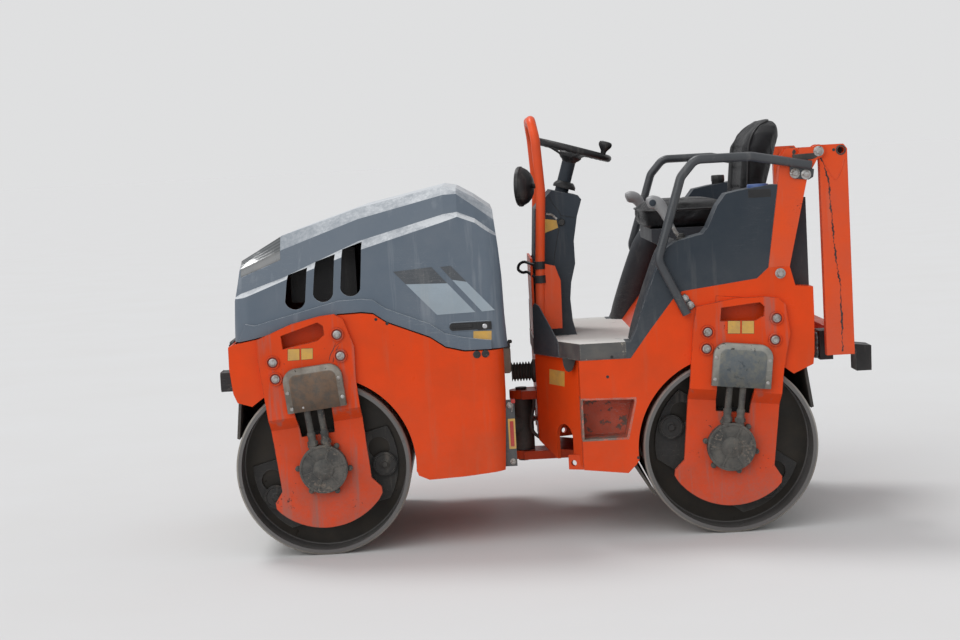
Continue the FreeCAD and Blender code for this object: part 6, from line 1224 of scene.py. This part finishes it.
fold = {
    "armY": 0.495, "hinge": (-0.910, 0.507, 1.247), "smallHole": (-0.9620, 1.2484), "lockHole": (-0.985, 1.247),
    "shadePlugY": 0.4570, "plateY": (0.5068, 0.5090), "lamp": (0.300, 0.5360), "lampX": -1.0915,
    "lenses": ((-0.9175, 0.300, 0.6080), (-0.9175, 0.300, 0.5720)),
    "plate": ((-0.8230, 1.2400), (-0.9000, 1.2420), (-0.9060, 1.2280), (-0.8880, 1.2220), (-0.8250, 1.2200)),
    "weld": ((-0.9230, 1.2230), (-0.9400, 1.1850), (-0.9560, 1.1570), (-0.9660, 1.1530), (-0.9780, 1.1680),
             (-0.9960, 1.2150)),
    "chipped": ((-0.9190, 1.2250), (-0.9300, 1.1961), (-0.9420, 1.1400), (-0.9433, 1.1194), (-0.9440, 1.0700),
                (-0.9481, 1.0322), (-0.9500, 0.9700), (-0.9543, 0.9120), (-0.9600, 0.8500), (-0.9664, 0.8021),
                (-0.9668, 0.6705), (-0.9660, 0.5850))}


def chippedLine(points, y):
    # strip of uneven width along the points: offsets are sums of sines of its length
    x, z = sideCurve(points, y, 220)[:, ::2].T
    t = np.arange(len(x))
    x = x + 0.0012 * np.sin(t * 0.9) + 0.0010 * np.sin(t * 2.3 + 1.0) + 0.0008 * np.sin(t * 0.31)
    half = np.clip(0.0018 + 0.0012 * np.sin(t * 0.23 + 0.6) + 0.0007 * np.sin(t * 1.7), 0.00035, None)
    rows = [np.stack([x + side * half, 0 * x + y + rise, z], -1)
            for side, rise in ((-1, -0.0002), (1, -0.0002), (1, 0.0004), (-1, 0.0004))]
    last = 4 * (len(x) - 1)
    ends = [[0, 1, 2, 3], [last + 3, last + 2, last + 1, last]]
    return np.stack(rows, 1).reshape(-1, 3), gridFaces(len(x), 4) + ends


s = fold
hinge = onSide(hexBolt(0.0170, 0.0115, 0.0080, 0.0030), *s["hinge"], 0.2)
makePiece("foldHingeBolts", [hinge], "boltSteel", "rear_body")
ring = hollowRing([(0.0118, -0.001), (0.0165, -0.001), (0.0165, 0.0018), (0.0150, 0.0026), (0.0118, 0.0026)], 36)
# the small hole gets a flat black dot: painted shade of the hole
rings = atSpots(ring, [s["lockHole"]], s["armY"]) + atSpots(holeShadeDot, [s["smallHole"]], s["armY"])
makePiece("foldHoleRingsAndShade", rings, "blackSteel", "folding_frame")
# black disc inside the lock hole: painted shade deep in the hole
holeShadeDisc = lathe([(0.0, 0.0), (0.0150, 0.0), (0.0150, 0.0015), (0.0, 0.0015)], 32)
makePiece("foldHoleShadePlugs", atSpots(holeShadeDisc, [s["lockHole"]], s["shadePlugY"]), "blackSteel", "folding_frame")
makePiece("foldWelds", [sideTube(s["weld"], s["armY"] - 0.0006, 60, 0.0022, 8)], "foldPaint", "folding_frame")
makePiece("hingePlates", [slab(s["plate"], *s["plateY"])], "blackSteel", "rear_body", bevel=0.0008)
makePiece("foldChips", [chippedLine(s["chipped"], s["armY"])], "blackPlastic", "folding_frame", "black_steel")
lampLens = onNose(roundedBox((0.042, 0.030), 0.006, s["lamp"]), s["lampX"], 0.0040)
makePiece("rearLampLenses", [lampLens], "redPlastic", "folding_frame", "lens", bevel=0.001)
reflector = lathe([(0.0, 0.0), (0.0270, 0.0), (0.0270, 0.010), (0.0250, 0.0125), (0.0120, 0.0150),
                   (0.0, 0.0158)], 36)
lenses = [placed(reflector, spot, **forward) for spot in s["lenses"]]
makePiece("deckLampLenses", lenses, "lens", "folding_frame")
print("folding frame details made")


# Stage: pale floor, large soft lamps, and the camera where the photograph was taken

studio = {
    "floor": 0.62, "floorHalf": 400.0, "background": (0.739, 0.742, 0.747), "sky": (0.97, 0.98, 1.0),
    "skyStrength": 0.66,
    # where each lamp stands as seen from the machine, its strength and its width in degrees
    "lamps": (("keyLamp", (0.40, -0.45, 1.0), 1.30, 22.0), ("fillLamp", (0.75, 1.0, 0.75), 1.25, 60.0))}
view = {"focal": 1922.67, "pixels": 960, "sensor": 36.0, "spot": (0.2305, 6.8022, 1.2862), "yaw": -0.0011,
        "pitch": 0.0842, "roll": -0.0546}


def standing(name, data):
    thing = bpy.data.objects.new(name, data)
    scene.collection.objects.link(thing)
    return thing


def paleFloor():
    # wide plane of one pale tone, which keeps the shadow
    size, tone = studio["floorHalf"], studio["floor"]
    mesh = bpy.data.meshes.new("floor")
    mesh.from_pydata([(-size, -size, 0), (size, -size, 0), (size, size, 0), (-size, size, 0)], [], [(0, 1, 2, 3)])
    material, tree, shader, where = newFinish("floor")
    share = ramp(tree, noise(tree, where, 1.4, 3.0), 0.3, 0.7)
    pale = blendColor(tree, share, (tone, tone, tone), (tone * 0.985, tone * 0.98, tone * 0.975))
    setShader(tree, shader, {"Base Color": pale, "Roughness": 1.0, "Specular IOR Level": 0.0})
    mesh.materials.append(material)
    standing("floor", mesh)


def skyLight():
    # even light from all round; the camera and what it sees through get a plain pale background
    world = bpy.data.worlds.new("studio")
    world.use_nodes = True
    tree = world.node_tree
    back = tree.nodes["Background"]
    setShader(tree, back.inputs, {"Color": (*studio["sky"], 1.0), "Strength": studio["skyStrength"]})
    seen = addNode(tree, "Background", {"Color": (*studio["background"], 1.0)})
    path = addNode(tree, "LightPath").outputs
    share = maths(tree, "MAXIMUM", path["Is Camera Ray"], path["Is Transmission Ray"])
    mix = addNode(tree, "MixShader", {0: share, 1: back.outputs[0], 2: seen.outputs[0]})
    tree.links.new(mix.outputs[0], tree.nodes["World Output"].inputs[0])
    scene.world = world


def farLamp(name, toward, strength, width):
    # sun lamp: the same strength everywhere, its shadow softened by its width
    lamp = bpy.data.lights.new(name, "SUN")
    lamp.energy = strength
    lamp.angle = math.radians(width)
    standing(name, lamp).rotation_euler = Vector(toward).to_track_quat("Z", "Y").to_euler()


def photoCamera():
    # forward from yaw and pitch, then the frame turned by the roll
    yaw, pitch, roll = view["yaw"], view["pitch"], view["roll"]
    ahead = Vector((math.sin(yaw) * math.cos(pitch), -math.cos(yaw) * math.cos(pitch), -math.sin(pitch)))
    right = ahead.cross(Vector((0, 0, 1))).normalized()
    up = right.cross(ahead)
    turned = math.cos(roll) * right + math.sin(roll) * up
    upright = -math.sin(roll) * right + math.cos(roll) * up
    camera = bpy.data.cameras.new("camera")
    camera.sensor_width = view["sensor"]
    camera.lens = view["focal"] * view["sensor"] / view["pixels"]
    scene.camera = standing("camera", camera)
    axes = Matrix((turned, upright, -ahead)).transposed().to_4x4()
    scene.camera.matrix_world = Matrix.Translation(view["spot"]) @ axes


paleFloor()
skyLight()
for row in studio["lamps"]:
    farLamp(*row)
photoCamera()
scene.view_settings.view_transform = "Standard"
print("stage set")
